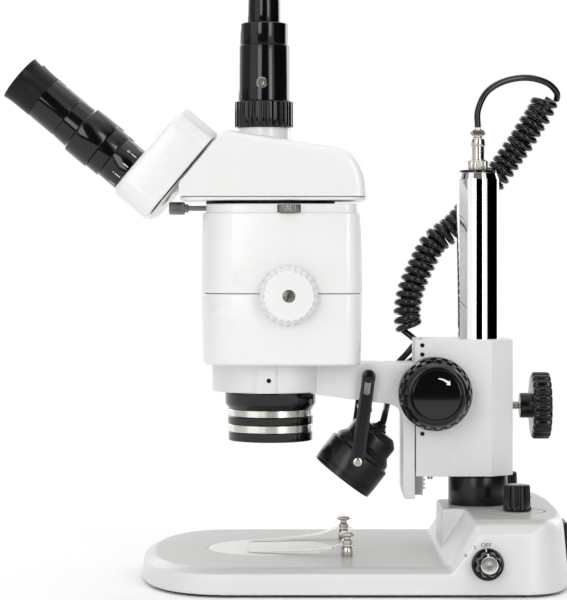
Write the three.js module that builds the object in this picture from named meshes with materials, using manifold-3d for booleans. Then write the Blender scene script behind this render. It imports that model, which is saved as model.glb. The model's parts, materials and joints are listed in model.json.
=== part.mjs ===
// Stereo zoom microscope on a pillar stand: weighted base with a stage plate, rack-focused arm,
// zoom body, trinocular head and a swinging lamp fed through a curly cord.
//
// Millimetres, +Z up. While modelling, the optical axis is X = 0, Y = 0 and the bench is Z = 0.
// The observer sits at -X, the pillar stands at +X, and the observer's right hand is -Y.
import * as THREE from "three";
import { mergeVertices } from "three/addons/utils/BufferGeometryUtils.js";
import Module from "manifold-3d";

const wasm = await Module();
wasm.setup();

// ---------------------------------------------------------------- driving dimensions

// Clearance between touching pieces, and the share of each turned piece's full facet count.
const GAP = 0.3;
const FINENESS = 0.42;
const SIDES = { right: -1, left: 1 };

// Base casting: a low plate in front, a raised housing behind, and a nose under the pillar.
const BASE = {
  bottom: 2,
  front: -97,
  rear: 222,
  halfWidth: 122,
  plateTop: 20.7,
  plateEdge: 16.5,
  housingTop: 54,
  housingEdge: 44.5,
  housingFlat: 103,
  slopeFoot: 126,
  slopeHead: 147,
  nose: { front: 128, halfWidth: 33, back: 156 },
};
const FOOT = { radius: 9, at: [[-58, 74], [192, 92]] };
const STAGE = { radius: 47.5, thickness: 3.6, bore: 41 };
const CLIP = { x: 57, y: 52, tipX: -18, tipY: 32, height: 18 };

// Rotary mode switch on the right-hand wall, square to the wall's draft.
const SWITCH = { x: 155, y: -120.2, z: 24, lean: 5 };

// Pillar with its foot collar, and the block that rides on it.
const PILLAR = { x: 158, radius: 16, bore: 12.5, top: 306 };
const COLLAR = { radius: 22.5, bottom: 54.3, top: 76.7 };
const BLOCK = { front: 109.3, back: 183, chamferFrom: 166, halfWidth: 29, bottom: 77.3, top: 179.7 };
const CLAMP = { z: 128.8, stem: 3, hub: 9.5, disc: 25.4, hubFrom: 189.7, discFrom: 198.5, end: 212.6 };

// Rack and pinion, module 1: one turn of the pinion lifts the arm by its pitch circumference.
const GEAR = { module: 1, teeth: 12, pressure: 20, slack: 0.22, width: 5 };
const FOCUS = { x: 123, z: 140, shaft: 5, knobBack: 31, knobFace: 61 };

// Arm: slide plate, dovetail, arm and the ring that holds the zoom body.
const ARM = { front: 99.6, back: 108.6, bottom: 60.3, top: 161.4, halfWidth: 27 };
const RAIL = { back: 115, bottom: 62, top: 160, neck: 13, foot: 15.5 };
const RING = { radius: 44.25, bore: 38.1, bottom: 140.4 };

// Zoom body, in two halves that meet at the zoom spindle.
const BODY = {
  front: -51.4,
  rear: 68.2,
  halfWidth: 60,
  bottom: 161.8,
  seam: 215,
  shoulder: 275,
  top: 281.6,
  frontRadius: 26,
  rearRadius: 14,
};
const ZOOM = { x: 13.9, z: 213.6, shaft: 4, face: 19, rim: 22, depth: 14.2 };
const APERTURE = { x: 14, y: -56, radius: 8.1, bottom: 275.4, top: 280.9 };
const LOCK = { z: 278.8, head: 4.85, stem: 1.95, from: -77.2, headEnd: -65.2, end: -47.2 };

// Head: shell, base with dovetail disc, inclined binocular and upright photo tube.
const HEAD = { bottom: 287.1, halfWidth: 62.5, neck: 20.25, neckTop: 340, bore: 17.4 };
const PORT_X = -5; // the photo tube stands a little ahead of the objective's axis
const EYE = { tilt: 40, x: -104.2, z: 306.3, spacing: 32, pivotUp: 34, pivotY: 31, depth: 32 };

// Lamp: its axis leans back from the face, and it hangs in a fork from the arm.
const LAMP = { tilt: 37.7, x: 54.1, z: 74.2, radius: 25.35, pivotUp: 18.4, length: 46.1 };
const FORK = { x: 73.8, z: 152.9, inner: 31.2, thickness: 3, halfWidth: 5 };

// Curly cord from the plug on the pillar to the lamp.
const CORD = { radius: 2.5, coil: 11, plugTop: 340.3 };

// The finished object stands with the middle of its footprint at the origin.
const FRAME = { x: -13.9, y: 8.139 };

const FINISHES = {
  whiteGloss: { color: 0xf3f3f0, roughness: 0.22, metalness: 0 },
  whiteSatin: { color: 0xdfe0de, roughness: 0.45, metalness: 0 },
  stageWhite: { color: 0xefece8, roughness: 0.5, metalness: 0 },
  blackGloss: { color: 0x0b0b0c, roughness: 0.15, metalness: 0 },
  blackSatin: { color: 0x15161a, roughness: 0.4, metalness: 0 },
  rubber: { color: 0x101011, roughness: 0.75, metalness: 0 },
  chrome: { color: 0xd9dadb, roughness: 0.06, metalness: 1 },
  steel: { color: 0xb9b8b2, roughness: 0.25, metalness: 1 },
  darkSteel: { color: 0x6e6c66, roughness: 0.3, metalness: 1 },
  aluminium: { color: 0xcfcdc8, roughness: 0.3, metalness: 1 },
  glass: { color: 0xdfe8ea, roughness: 0.05, metalness: 0 },
  cordBlack: { color: 0x0c0c0d, roughness: 0.28, metalness: 0 },
};

// ---------------------------------------------------------------- solids

// A closed geometry as a solid that can be cut and joined, turned outwards if need be.
function solid(geometry) {
  const bare = geometry.index ? geometry.toNonIndexed() : geometry.clone();
  bare.deleteAttribute("normal");
  bare.deleteAttribute("uv");
  const merged = mergeVertices(bare, 1e-4);
  const position = merged.attributes.position.array;
  const index = [];
  for (let i = 0; i < merged.index.count; i += 3) {
    const [a, b, c] = merged.index.array.slice(i, i + 3);
    if (a !== b && b !== c && c !== a) index.push(a, b, c);
  }
  const build = (triVerts) => new wasm.Manifold(
    new wasm.Mesh({ numProp: 3, vertProperties: position, triVerts: new Uint32Array(triVerts) }),
  );
  const made = build(index);
  return made.volume() < 0 ? build(index.reverse()) : made;
}

function geometryOf(shape) {
  const mesh = shape.getMesh();
  const geometry = new THREE.BufferGeometry();
  geometry.setAttribute("position", new THREE.BufferAttribute(mesh.vertProperties, 3));
  geometry.setIndex(new THREE.BufferAttribute(mesh.triVerts, 1));
  geometry.computeVertexNormals();
  return geometry;
}

// Joins several solids into one.
function join(first, ...others) {
  return others.reduce((sum, other) => sum.add(other), first);
}

// Cuts several solids out of one.
function cut(body, ...tools) {
  return tools.reduce((left, tool) => left.subtract(tool), body);
}

// Turns a geometry built along +Z so that it runs along the named axis, then moves it.
function aim(geometry, axis, at = [0, 0, 0]) {
  const turns = {
    x: () => geometry.rotateY(Math.PI / 2),
    y: () => geometry.rotateX(-Math.PI / 2),
    "-y": () => geometry.rotateX(Math.PI / 2),
    z: () => geometry,
  };
  return turns[axis]().translate(...at);
}

// A turned piece: the profile is a list of [radius, height] from the axis back to the axis.
function turned(profile, segments = 36) {
  const points = profile.map(([r, z]) => new THREE.Vector2(r, z));
  const facets = Math.max(10, Math.round(segments * FINENESS));
  return new THREE.LatheGeometry(points, facets).rotateX(Math.PI / 2);
}

// A turned ring: the profile closes on itself.
function ring(profile, segments = 36) {
  return turned([...profile, profile[0]], segments);
}

function rod(radius, from, to, segments = 36) {
  return turned([[0, from], [radius, from], [radius, to], [0, to]], segments);
}

function box([x0, x1], [y0, y1], [z0, z1]) {
  return new THREE.BoxGeometry(x1 - x0, y1 - y0, z1 - z0).translate(
    (x0 + x1) / 2,
    (y0 + y1) / 2,
    (z0 + z1) / 2,
  );
}

// A stack of outlines at rising heights, skinned and capped: [[height, outline], ...].
function stack(drawn) {
  const clockwise = THREE.ShapeUtils.area(drawn[0][1]) < 0;
  const levels = drawn.map(([z, outline]) => [z, clockwise ? [...outline].reverse() : outline]);
  const count = levels[0][1].length;
  const position = levels.flatMap(([z, outline]) => outline.flatMap((p) => [p.x, p.y, z]));
  const index = [];
  for (let level = 0; level < levels.length - 1; level++) {
    for (let i = 0; i < count; i++) {
      const a = level * count + i;
      const b = level * count + ((i + 1) % count);
      index.push(a, b, b + count, a, b + count, a + count);
    }
  }
  const last = (levels.length - 1) * count;
  for (const [i, j, k] of THREE.ShapeUtils.triangulateShape(levels[0][1], [])) index.push(k, j, i);
  for (const [i, j, k] of THREE.ShapeUtils.triangulateShape(levels.at(-1)[1], [])) {
    index.push(last + i, last + j, last + k);
  }
  const geometry = new THREE.BufferGeometry();
  geometry.setAttribute("position", new THREE.Float32BufferAttribute(position, 3));
  geometry.setIndex(index);
  return geometry;
}

// The same, stacked along +Y from outlines drawn in X and Z.
function stackAcross(levels) {
  const mirrored = levels.map(([y, outline]) => [-y, outline]).reverse();
  return stack(mirrored).rotateX(Math.PI / 2);
}

function prism(points, from, to) {
  const outline = points.map(([x, y]) => new THREE.Vector2(x, y));
  return stack([[from, outline], [to, outline]]);
}

// A plate drawn in X and Z, between two Y values.
function sidePlate(points, from, to) {
  const outline = points.map(([x, z]) => new THREE.Vector2(x, z));
  return stackAcross([[from, outline], [to, outline]]);
}

// A swept tube of round section along a smooth path.
function tube(points, radius, steps, sides = 8) {
  const path = new THREE.CatmullRomCurve3(points.map((p) => new THREE.Vector3(...p)));
  const section = new THREE.Shape();
  for (let i = 0; i < sides; i++) {
    const angle = (2 * Math.PI * i) / sides;
    const x = radius * Math.cos(angle);
    const y = radius * Math.sin(angle);
    if (i === 0) section.moveTo(x, y);
    else section.lineTo(x, y);
  }
  return new THREE.ExtrudeGeometry(section, { steps, extrudePath: path, curveSegments: 1 });
}

// ---------------------------------------------------------------- outlines

function arc(cx, cy, radius, fromDeg, toDeg, steps) {
  return Array.from({ length: steps + 1 }, (_, i) => {
    const angle = THREE.MathUtils.degToRad(fromDeg + ((toDeg - fromDeg) * i) / steps);
    return new THREE.Vector2(cx + radius * Math.cos(angle), cy + radius * Math.sin(angle));
  });
}

// A rectangle with its own corner radius at the front (-X) and the rear (+X).
function roundedPlan({ front, rear, halfWidth, frontRadius, rearRadius }, inset = 0, steps = 6) {
  const f = frontRadius;
  const r = rearRadius;
  return [
    ...arc(front + f, -halfWidth + f, f - inset, 180, 270, steps),
    ...arc(rear - r, -halfWidth + r, r - inset, 270, 360, steps),
    ...arc(rear - r, halfWidth - r, r - inset, 0, 90, steps),
    ...arc(front + f, halfWidth - f, f - inset, 90, 180, steps),
  ];
}

// Moves each point of a counter-clockwise outline inwards by a distance.
function inset(outline, distance) {
  return outline.map((point, i) => {
    const before = outline[(i + outline.length - 1) % outline.length];
    const after = outline[(i + 1) % outline.length];
    const first = point.clone().sub(before).normalize();
    const second = after.clone().sub(point).normalize();
    const normal = new THREE.Vector2(-first.y - second.y, first.x + second.x).normalize();
    const spread = Math.max(0.5, normal.dot(new THREE.Vector2(-first.y, first.x)));
    return point.clone().addScaledVector(normal, distance / spread);
  });
}

// The tight outline around several circles: [[x, y, radius], ...].
function hull(circles, shrink = 0, steps = 24) {
  const cloud = circles.flatMap(([x, y, r]) => arc(x, y, r - shrink, 0, 360, steps).slice(1));
  cloud.sort((a, b) => a.x - b.x || a.y - b.y);
  const half = (points) => {
    const chain = [];
    for (const p of points) {
      while (chain.length > 1) {
        const [a, b] = chain.slice(-2);
        if ((b.x - a.x) * (p.y - a.y) - (b.y - a.y) * (p.x - a.x) > 1e-9) break;
        chain.pop();
      }
      chain.push(p);
    }
    return chain.slice(0, -1);
  };
  return [...half(cloud), ...half([...cloud].reverse())];
}

// A round outline with evenly spaced grooves of a given depth.
function fluted(radius, depth, count, perFlute = 2) {
  const total = count * perFlute;
  return Array.from({ length: total }, (_, i) => {
    const angle = (2 * Math.PI * i) / total;
    const r = i % perFlute === 0 ? radius - depth : radius;
    return new THREE.Vector2(r * Math.cos(angle), r * Math.sin(angle));
  });
}

// ---------------------------------------------------------------- scene helpers

const root = new THREE.Group();
root.position.set(FRAME.x, FRAME.y, 0);

function piece(name, shape, finish, parent = root) {
  const mesh = new THREE.Mesh(geometryOf(shape), new THREE.MeshStandardMaterial(FINISHES[finish]));
  mesh.name = name;
  parent.add(mesh);
  return mesh;
}

function frameAt(x, y, z, tiltY = 0, tiltX = 0) {
  const group = new THREE.Group();
  group.position.set(x, y, z);
  group.rotation.set(THREE.MathUtils.degToRad(tiltX), THREE.MathUtils.degToRad(tiltY), 0);
  root.add(group);
  return group;
}

// ---------------------------------------------------------------- base

// Plan of the base: broad curved front, straight sides, rounded rear corners.
function basePlan() {
  const { front, rear, halfWidth } = BASE;
  const shape = new THREE.Shape();
  shape.moveTo(front, 0);
  shape.bezierCurveTo(front, -88, -68, -halfWidth, -28, -halfWidth);
  shape.lineTo(rear - 40, -halfWidth);
  shape.bezierCurveTo(rear - 5, -halfWidth, rear - 2, -68, rear, -30);
  shape.lineTo(rear, 30);
  shape.bezierCurveTo(rear - 2, 68, rear - 5, halfWidth, rear - 40, halfWidth);
  shape.lineTo(-28, halfWidth);
  shape.bezierCurveTo(-68, halfWidth, front, 88, front, 0);
  return shape.getPoints(9).slice(1);
}

// Rear housing: a slope up to a flat top, with wide bevels along both sides.
function housing(plan) {
  const { slopeFoot, slopeHead, housingTop, housingEdge, plateTop, plateEdge } = BASE;
  const profile = (foot, low, head, high) => [
    new THREE.Vector2(118, 1),
    new THREE.Vector2(230, 1),
    new THREE.Vector2(230, high),
    new THREE.Vector2(head, high),
    new THREE.Vector2(foot, low),
  ];
  const middle = profile(slopeFoot, plateTop, slopeHead, housingTop);
  const shoulder = profile(slopeFoot + 1, plateTop - 1.6, slopeHead + 1, housingTop - 2.6);
  const edge = profile(slopeFoot + 3, plateEdge, slopeHead + 3.5, housingEdge);
  const flat = BASE.housingFlat;
  const across = stackAcross([
    [-124, edge],
    [-118, edge],
    [-flat - 8, shoulder],
    [-flat, middle],
    [flat, middle],
    [flat + 8, shoulder],
    [118, edge],
    [124, edge],
  ]);
  const outline = stack([
    [BASE.bottom, plan],
    [housingEdge, inset(plan, 3.7)],
    [housingTop - 3, inset(plan, 5.5)],
    [housingTop, inset(plan, 10)],
  ]);
  return solid(across).intersect(solid(outline));
}

function baseNose() {
  const { front, halfWidth, back } = BASE.nose;
  const plan = { front, rear: back, halfWidth, frontRadius: 5, rearRadius: 1 };
  const levels = [[18, 0], [BASE.housingTop - 1.6, 0], [BASE.housingTop, 1]];
  return solid(stack(levels.map(([z, edge]) => [z, roundedPlan(plan, edge * 0.9, 3)])));
}

function baseCasting() {
  const plan = basePlan();
  const plate = stack([
    [BASE.bottom, plan],
    [BASE.plateEdge, inset(plan, 1.3)],
    [BASE.plateTop, inset(plan, 9.5)],
  ]);
  const body = join(solid(plate), housing(plan), baseNose());
  const coverPocket = stack([[0, inset(plan, 6)], [4.1, inset(plan, 6)]]);
  const frontHollow = stack([[0, inset(plan, 9)], [13.4, inset(plan, 11)]]);
  const tools = [
    solid(coverPocket),
    solid(frontHollow),
    solid(box([140, 205], [-100, 100], [3, 42])),
    solid(box([157, 205], [-92, 92], [41, 49])),
    solid(rod(STAGE.radius + 0.5, BASE.plateTop - STAGE.thickness - GAP, BASE.plateTop + 1, 48)),
    solid(rod(STAGE.bore, 5, BASE.plateTop, 40)),
    solid(box([200, 230], [-14.2, 14.2], [6.2, 39.8])),
  ];
  for (const side of [-1, 1]) {
    tools.push(solid(rod(3.3, 12, 30, 16).translate(CLIP.x, side * CLIP.y, 0)));
    tools.push(solid(rod(3.3, 47, 60, 16).translate(183, side * 50, 0)));
    const groove = ring([[19.4, 52.6], [21.2, 52.6], [21.2, 55], [19.4, 55]], 40);
    tools.push(solid(groove.translate(183, side * 50, 0)));
  }
  const switchBore = rod(3.3, -30, 4, 16).rotateX(THREE.MathUtils.degToRad(85));
  tools.push(solid(switchBore.translate(SWITCH.x, SWITCH.y, SWITCH.z)));
  return cut(body, ...tools);
}

function baseCover() {
  const plan = inset(basePlan(), 6.4);
  return solid(stack([[2.3, plan], [3.8, plan]]));
}

function foot() {
  return solid(turned([[0, 0], [FOOT.radius - 1, 0], [FOOT.radius, 1], [FOOT.radius, 2], [0, 2]], 20));
}

function stagePlate() {
  const top = BASE.plateTop;
  const { radius, thickness } = STAGE;
  return solid(turned([
    [0, top - thickness],
    [radius, top - thickness],
    [radius, top - 0.5],
    [radius - 0.5, top],
    [0, top],
  ], 48));
}

// Appliance inlet: a flange on the rear wall, a socket with three pins, and a fuse drawer above.
function powerInlet() {
  const wall = BASE.rear;
  const flange = box([wall + 0.3, wall + 3], [-15.5, 15.5], [5, 41]);
  const shroud = box([203, wall + 4.5], [-13.8, 13.8], [6.6, 39.4]);
  const socket = box([206, wall + 10], [-11.5, 11.5], [8.6, 23.4]);
  const pins = [[-7, 17], [0, 20], [7, 17]].map(([y, z]) =>
    solid(box([205, 220], [y - 1, y + 1], [z - 2, z + 2])),
  );
  const seam = box([wall + 3.5, wall + 10], [-11, 11], [25.4, 26.2]);
  return join(cut(solid(flange).add(solid(shroud)), solid(socket), solid(seam)), ...pins);
}

// ---------------------------------------------------------------- stage clips

function clipPost() {
  const base = BASE.plateTop;
  return solid(turned([
    [0, base - 6],
    [3, base - 6],
    [3, base + 0.3],
    [4, base + 0.3],
    [4, base + 6.9],
    [3.4, base + 7.3],
    [3.4, base + 9.2],
    [4, base + 9.6],
    [4, base + 12],
    [2.7, base + 13],
    [2.7, base + 14.4],
    [5, base + 15.2],
    [5.5, base + 16.2],
    [5, base + 17.2],
    [3, base + CLIP.height],
    [0, base + CLIP.height],
  ], 20));
}

// A spring strip from the post, sloping down to the plate and turned up at its tip.
function clipSpring() {
  const base = BASE.plateTop;
  const length = Math.hypot(CLIP.x - CLIP.tipX, CLIP.y - CLIP.tipY);
  const line = [
    [-6, 8.3], [5, 8.3], [11, 6.4], [18, 4.6], [30, 3.1], [46, 1.9], [64, 1.0],
    [length - 6, 0.6], [length - 2, 1.1], [length, 2.4],
  ];
  const lower = line.map(([s, h]) => [-s, base + h]);
  const upper = line.map(([s, h]) => [-s, base + h + 0.6]).reverse();
  const strip = solid(sidePlate([...lower, ...upper], -4.4, 4.4));
  const tipTrim = [
    [-length - 2, 1.4], [-24, 4.5], [-24, 9], [-length - 2, 9],
  ];
  const trims = [tipTrim, tipTrim.map(([x, y]) => [x, -y]).reverse()];
  const hole = solid(rod(3.7, base, base + 20, 20));
  return cut(strip, hole, ...trims.map((trim) => solid(prism(trim, base - 5, base + 20))));
}

// ---------------------------------------------------------------- controls on the base

function modeKnob() {
  const skirt = rod(11.5, 0.5, 3.6, 36);
  const grip = stack([
    [3, fluted(9.6, 1.2, 8, 3)],
    [14.4, fluted(8.2, 1.1, 8, 3)],
    [15.6, fluted(7.4, 0.9, 8, 3)],
  ]);
  return join(solid(rod(3, -4, 1, 16)), solid(skirt), solid(grip), solid(rod(6.25, 15, 17.6, 28)));
}

function brightnessKnob() {
  return join(
    solid(rod(3, 48.5, 55, 16)),
    solid(stack([
      [54.6, fluted(10.5, 0.9, 12)],
      [57.6, fluted(10.5, 0.9, 12)],
      [58, fluted(9.9, 0.9, 12)],
      [72.2, fluted(9.6, 0.9, 12)],
      [73.6, fluted(8.6, 0.6, 12)],
    ])),
  );
}

// ---------------------------------------------------------------- pillar and focus block

function pillar() {
  const { radius, bore, top } = PILLAR;
  return solid(ring([
    [bore, BASE.housingTop + GAP],
    [radius, BASE.housingTop + GAP],
    [radius, top - 5],
    [radius - 1.6, top],
    [bore, top],
  ], 40));
}

function pillarCap() {
  const { bore, top } = PILLAR;
  return solid(turned([
    [0, top - 8],
    [bore - GAP, top - 8],
    [bore - GAP, top + GAP],
    [14.4, top + GAP],
    [14.4, top + 1.2],
    [13.6, top + 1.9],
    [0, top + 1.9],
  ], 32));
}

function lampPlug() {
  const z = PILLAR.top + 2.2;
  return solid(turned([
    [0, z], [7.5, z], [7.5, z + 6.8], [4.75, z + 7.2], [4.75, z + 23.5], [4.4, z + 24.4],
    [4.4, z + 31.4], [0, z + 31.4],
  ], 24));
}

function stopCollar() {
  const { radius, bottom, top } = COLLAR;
  const bore = PILLAR.radius + 0.3;
  return solid(ring([
    [bore, bottom], [radius - 0.6, bottom], [radius, bottom + 0.6], [radius, top - 0.6],
    [radius - 0.6, top], [bore, top],
  ], 40));
}

function focusBlock() {
  const { front, back, chamferFrom, halfWidth, bottom, top } = BLOCK;
  const plan = [
    [front, -halfWidth], [chamferFrom, -halfWidth], [back, -halfWidth + 13],
    [back, halfWidth - 13], [chamferFrom, halfWidth], [front, halfWidth],
  ];
  const slot = [
    [front - 1, -RAIL.neck - 0.35], [RAIL.back + 0.4, -RAIL.foot - 0.4],
    [RAIL.back + 0.4, RAIL.foot + 0.4], [front - 1, RAIL.neck + 0.35],
  ];
  const tools = [
    solid(rod(PILLAR.radius + 0.35, bottom - 1, top + 1, 40).translate(PILLAR.x, 0, 0)),
    solid(prism(slot, bottom - 1, top + 1)),
    solid(box([RAIL.back - 1, 118.8], [-6, 6], [bottom - 1, top + 1])),
    solid(aim(rod(FOCUS.shaft + 0.3, -40, 40, 28), "y", [FOCUS.x, 0, FOCUS.z])),
    solid(aim(rod(7.6, -6.4, 6.4, 28), "y", [FOCUS.x, 0, FOCUS.z])),
    solid(aim(rod(CLAMP.stem + 0.3, 170, 190, 20), "x", [0, 0, CLAMP.z])),
  ];
  for (const side of [-1, 1]) {
    for (const x of [134, 166]) {
      const faces = [side * halfWidth - 0.6, side * halfWidth + 0.6];
      tools.push(solid(box([x - 0.5, x + 0.5], faces, [bottom - 1, top + 1])));
    }
    for (const z of [175.7, 168.8, 109.4]) {
      tools.push(solid(aim(rod(1.3, -3, 3, 12), "y", [114, side * (halfWidth - 1), z])));
    }
  }
  return cut(solid(prism(plan, bottom, top)), ...tools);
}

function clampScrew() {
  const { z, stem, hub, disc, hubFrom, discFrom, end } = CLAMP;
  const grip = stack([
    [discFrom, fluted(disc - 1.5, 1.6, 24)],
    [discFrom + 1.4, fluted(disc, 1.8, 24)],
    [end - 2, fluted(disc, 1.8, 24)],
    [end, fluted(disc - 2, 1.4, 24)],
  ]);
  const shaft = turned([
    [0, 174.4], [stem, 174.4], [stem, hubFrom], [hub, hubFrom], [hub, discFrom + 1], [0, discFrom + 1],
  ], 28);
  return solid(aim(shaft, "x", [0, 0, z])).add(solid(aim(grip, "x", [0, 0, z])));
}

// ---------------------------------------------------------------- rack and pinion

// Half tooth thickness of an involute pinion, as an angle, at a radius.
function toothHalfAngle(radius) {
  const { module, teeth, pressure, slack } = GEAR;
  const pitch = (module * teeth) / 2;
  const alpha = THREE.MathUtils.degToRad(pressure);
  const involute = (angle) => Math.tan(angle) - angle;
  const at = Math.acos(Math.min(1, (pitch * Math.cos(alpha)) / radius));
  const half = (Math.PI * module) / 4 - slack / 2;
  return half / pitch + involute(alpha) - involute(at);
}

function pinion() {
  const { module, teeth, width } = GEAR;
  const pitch = (module * teeth) / 2;
  const root = pitch - 1;
  const tip = pitch + 0.95;
  const radii = [root, 5.64, 6.1, 6.6, tip];
  const outline = [];
  for (let tooth = 0; tooth < teeth; tooth++) {
    const middle = (2 * Math.PI * tooth) / teeth;
    const point = (radius, side) => {
      const angle = middle + side * toothHalfAngle(Math.max(radius, 5.64));
      return new THREE.Vector2(radius * Math.cos(angle), radius * Math.sin(angle));
    };
    outline.push(...radii.map((radius) => point(radius, -1)));
    outline.push(...[...radii].reverse().map((radius) => point(radius, 1)));
  }
  return stack([[-width, outline], [width, outline]]);
}

// The pinion's axle, with a tooth pointing at a gap of the rack.
function focusShaft() {
  const axle = aim(rod(FOCUS.shaft, -FOCUS.knobFace + 8, FOCUS.knobFace - 8, 24), "y");
  const gear = aim(pinion(), "y");
  return solid(axle).add(solid(gear));
}

// A straight rack, whose gaps are centred on the pinion's height.
function rack() {
  const { module, pressure, slack, width } = GEAR;
  const pitchLine = FOCUS.x - (module * GEAR.teeth) / 2;
  const pitch = Math.PI * module;
  const slope = Math.tan(THREE.MathUtils.degToRad(pressure));
  const tip = pitchLine + 0.7;
  const floor = pitchLine - 1.25;
  const half = pitch / 4 - slack / 2;
  const teeth = [];
  for (let n = -30; n <= 30; n++) {
    const z = FOCUS.z + (n + 0.5) * pitch;
    if (z < 66 || z > 156) continue;
    teeth.push([floor, z - half - 1.25 * slope], [tip, z - half + 0.7 * slope]);
    teeth.push([tip, z + half - 0.7 * slope], [floor, z + half + 1.25 * slope]);
  }
  const outline = [[112.5, 64], [floor, 64], ...teeth, [floor, 158], [112.5, 158]];
  return solid(sidePlate(outline, -width, width));
}

// A flared focusing knob: fluted cone, plain rim behind and a flat disc in its face.
function focusKnob() {
  const depth = FOCUS.knobFace - FOCUS.knobBack;
  const grip = stack([
    [0, fluted(26, 0, 20)],
    [2, fluted(27.5, 0, 20)],
    [11, fluted(27.5, 1.4, 20)],
    [depth - 9, fluted(26.4, 1.6, 20)],
    [depth - 1.5, fluted(22.4, 1.4, 20)],
    [depth, fluted(21, 0, 20)],
  ]);
  const dish = solid(rod(18.3, depth - 0.8, depth + 5, 36));
  const bore = solid(rod(FOCUS.shaft + GAP, -1, 22.5, 24));
  return cut(solid(grip), dish, bore);
}

// ---------------------------------------------------------------- arm

function armCarriage() {
  const { front, back, bottom, top, halfWidth } = ARM;
  const profile = [
    [30, 139.4], [88, 132], [93.5, 130], [97.5, 126], [front, 121],
    [front, bottom + 6], [front + 1.4, bottom], [back, bottom], [back, top], [30, top],
  ];
  const rail = [
    [back - 1, -RAIL.neck + 0.1], [RAIL.back, -RAIL.foot], [RAIL.back, RAIL.foot],
    [back - 1, RAIL.neck - 0.1],
  ];
  const hoop = rod(RING.radius, RING.bottom, top, 48);
  const boss = box([-9, 4], [-RING.radius - 1, -RING.radius + 8], [RING.bottom, top]);
  const body = join(
    solid(sidePlate(profile, -halfWidth, halfWidth)),
    solid(prism(rail, RAIL.bottom, RAIL.top)),
    solid(hoop),
    solid(boss),
  );
  return cut(
    body,
    solid(rod(RING.bore, RING.bottom - 5, top + 5, 48)),
    solid(box([RAIL.back - 2.8, RAIL.back + 1], [-5.3, 5.3], [RAIL.bottom - 1, RAIL.top + 1])),
    solid(aim(rod(1.7, -3, 10, 16), "y", [-1, -RING.radius, 150])),
    solid(aim(rod(2.4, -40, 40, 16), "y", [FORK.x, 0, FORK.z])),
  );
}

// ---------------------------------------------------------------- zoom body

function bodyLevels(levels) {
  return stack(levels.map(([z, edge]) => [z, roundedPlan(BODY, edge)]));
}

function zoomBodyLower() {
  const { bottom, seam } = BODY;
  const shell = solid(bodyLevels([[bottom, 2.6], [bottom + 1.6, 0.9], [seam - GAP, 0.1]]));
  const hollow = solid(bodyLevels([[bottom + 5, 5], [seam + 5, 4.5]]));
  const spigot = solid(rod(RING.bore - 0.7, RING.bottom + 0.1, bottom + 1, 48));
  return cut(
    join(cut(shell, hollow), spigot),
    solid(rod(31, RING.bottom - 5, bottom + 8, 40)),
    solid(aim(rod(ZOOM.shaft + 0.4, -80, 80, 24), "y", [ZOOM.x, 0, ZOOM.z])),
  );
}

function zoomBodyUpper() {
  const { seam, shoulder, top } = BODY;
  const shell = solid(bodyLevels([[seam + GAP, 0.1], [shoulder - 1.4, 0.9], [shoulder, 2.4]]));
  const neck = solid(bodyLevels([[shoulder - 1, 3.3], [top - 0.8, 3.3], [top, 4.1]]));
  const hollow = solid(bodyLevels([[seam - 5, 4.5], [shoulder - 4, 5]]));
  const { x, y, radius, bottom, top: wheelTop } = APERTURE;
  const wheelSlot = solid(rod(radius + 0.5, bottom - 0.3, wheelTop + 0.3, 28).translate(x, y, 0));
  return cut(
    join(shell, neck),
    hollow,
    wheelSlot,
    solid(rod(2.4, shoulder - 6, top + 1, 16).translate(x, y, 0)),
    solid(aim(rod(ZOOM.shaft + 0.4, -80, 80, 24), "y", [ZOOM.x, 0, ZOOM.z])),
    solid(aim(rod(LOCK.stem + 0.35, -60, LOCK.end + 1.5, 16), "x", [0, 0, LOCK.z])),
  );
}

function apertureWheel() {
  const { bottom, top, radius } = APERTURE;
  return solid(stack([
    [bottom, fluted(radius, 0.5, 18)],
    [top - 0.6, fluted(radius, 0.5, 18)],
    [top, fluted(radius - 0.5, 0.5, 18)],
  ])).add(solid(rod(2, bottom - 4, top, 16)));
}

function zoomShaft() {
  const end = BODY.halfWidth + 8;
  return solid(aim(rod(ZOOM.shaft, -end, end, 24), "y", [ZOOM.x, 0, ZOOM.z]));
}

// A zoom knob: a scalloped face on a flared scalloped rim, with a dish for its screw.
function zoomKnob() {
  const { face, rim, depth } = ZOOM;
  const grip = stack([
    [0, fluted(rim, 1, 24)],
    [3.4, fluted(rim, 1, 24)],
    [7, fluted(face + 0.6, 0.9, 24)],
    [depth - 1, fluted(face, 0.9, 24)],
    [depth, fluted(face - 0.9, 0.7, 24)],
  ]);
  const dish = solid(rod(4.7, depth - 2.2, depth + 2, 24));
  const bore = solid(rod(ZOOM.shaft + GAP, -1, 8.6, 24));
  return cut(solid(grip), dish, bore);
}

function lockScrew() {
  const { z, head, stem, from, headEnd, end } = LOCK;
  const screw = turned([
    [0, from], [head - 0.8, from], [head, from + 1], [head, headEnd - 0.5], [head - 0.6, headEnd],
    [3.2, headEnd], [3.2, headEnd + 2.6], [stem, headEnd + 2.8], [stem, end], [0, end],
  ], 24);
  return solid(aim(screw, "x", [0, 0, z]));
}

function objectiveBarrel() {
  return solid(turned([
    [0, 112.5], [28, 112.5], [28, 102.6], [31, 102.6], [32, 103.6], [32, 109.2], [31.4, 109.5],
    [32, 109.8], [32, 115], [32.6, 115.3], [32.6, 120.8], [32, 121.1], [32, 126.6], [34.4, 130.8],
    [34.4, 140.1], [0, 140.1],
  ], 44));
}

function objectiveLens() {
  return solid(turned([
    [0, 104.2], [10, 104.5], [20, 105.6], [27.4, 107.4], [27.4, 112.1], [0, 112.1],
  ], 36));
}

// ---------------------------------------------------------------- head

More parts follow.
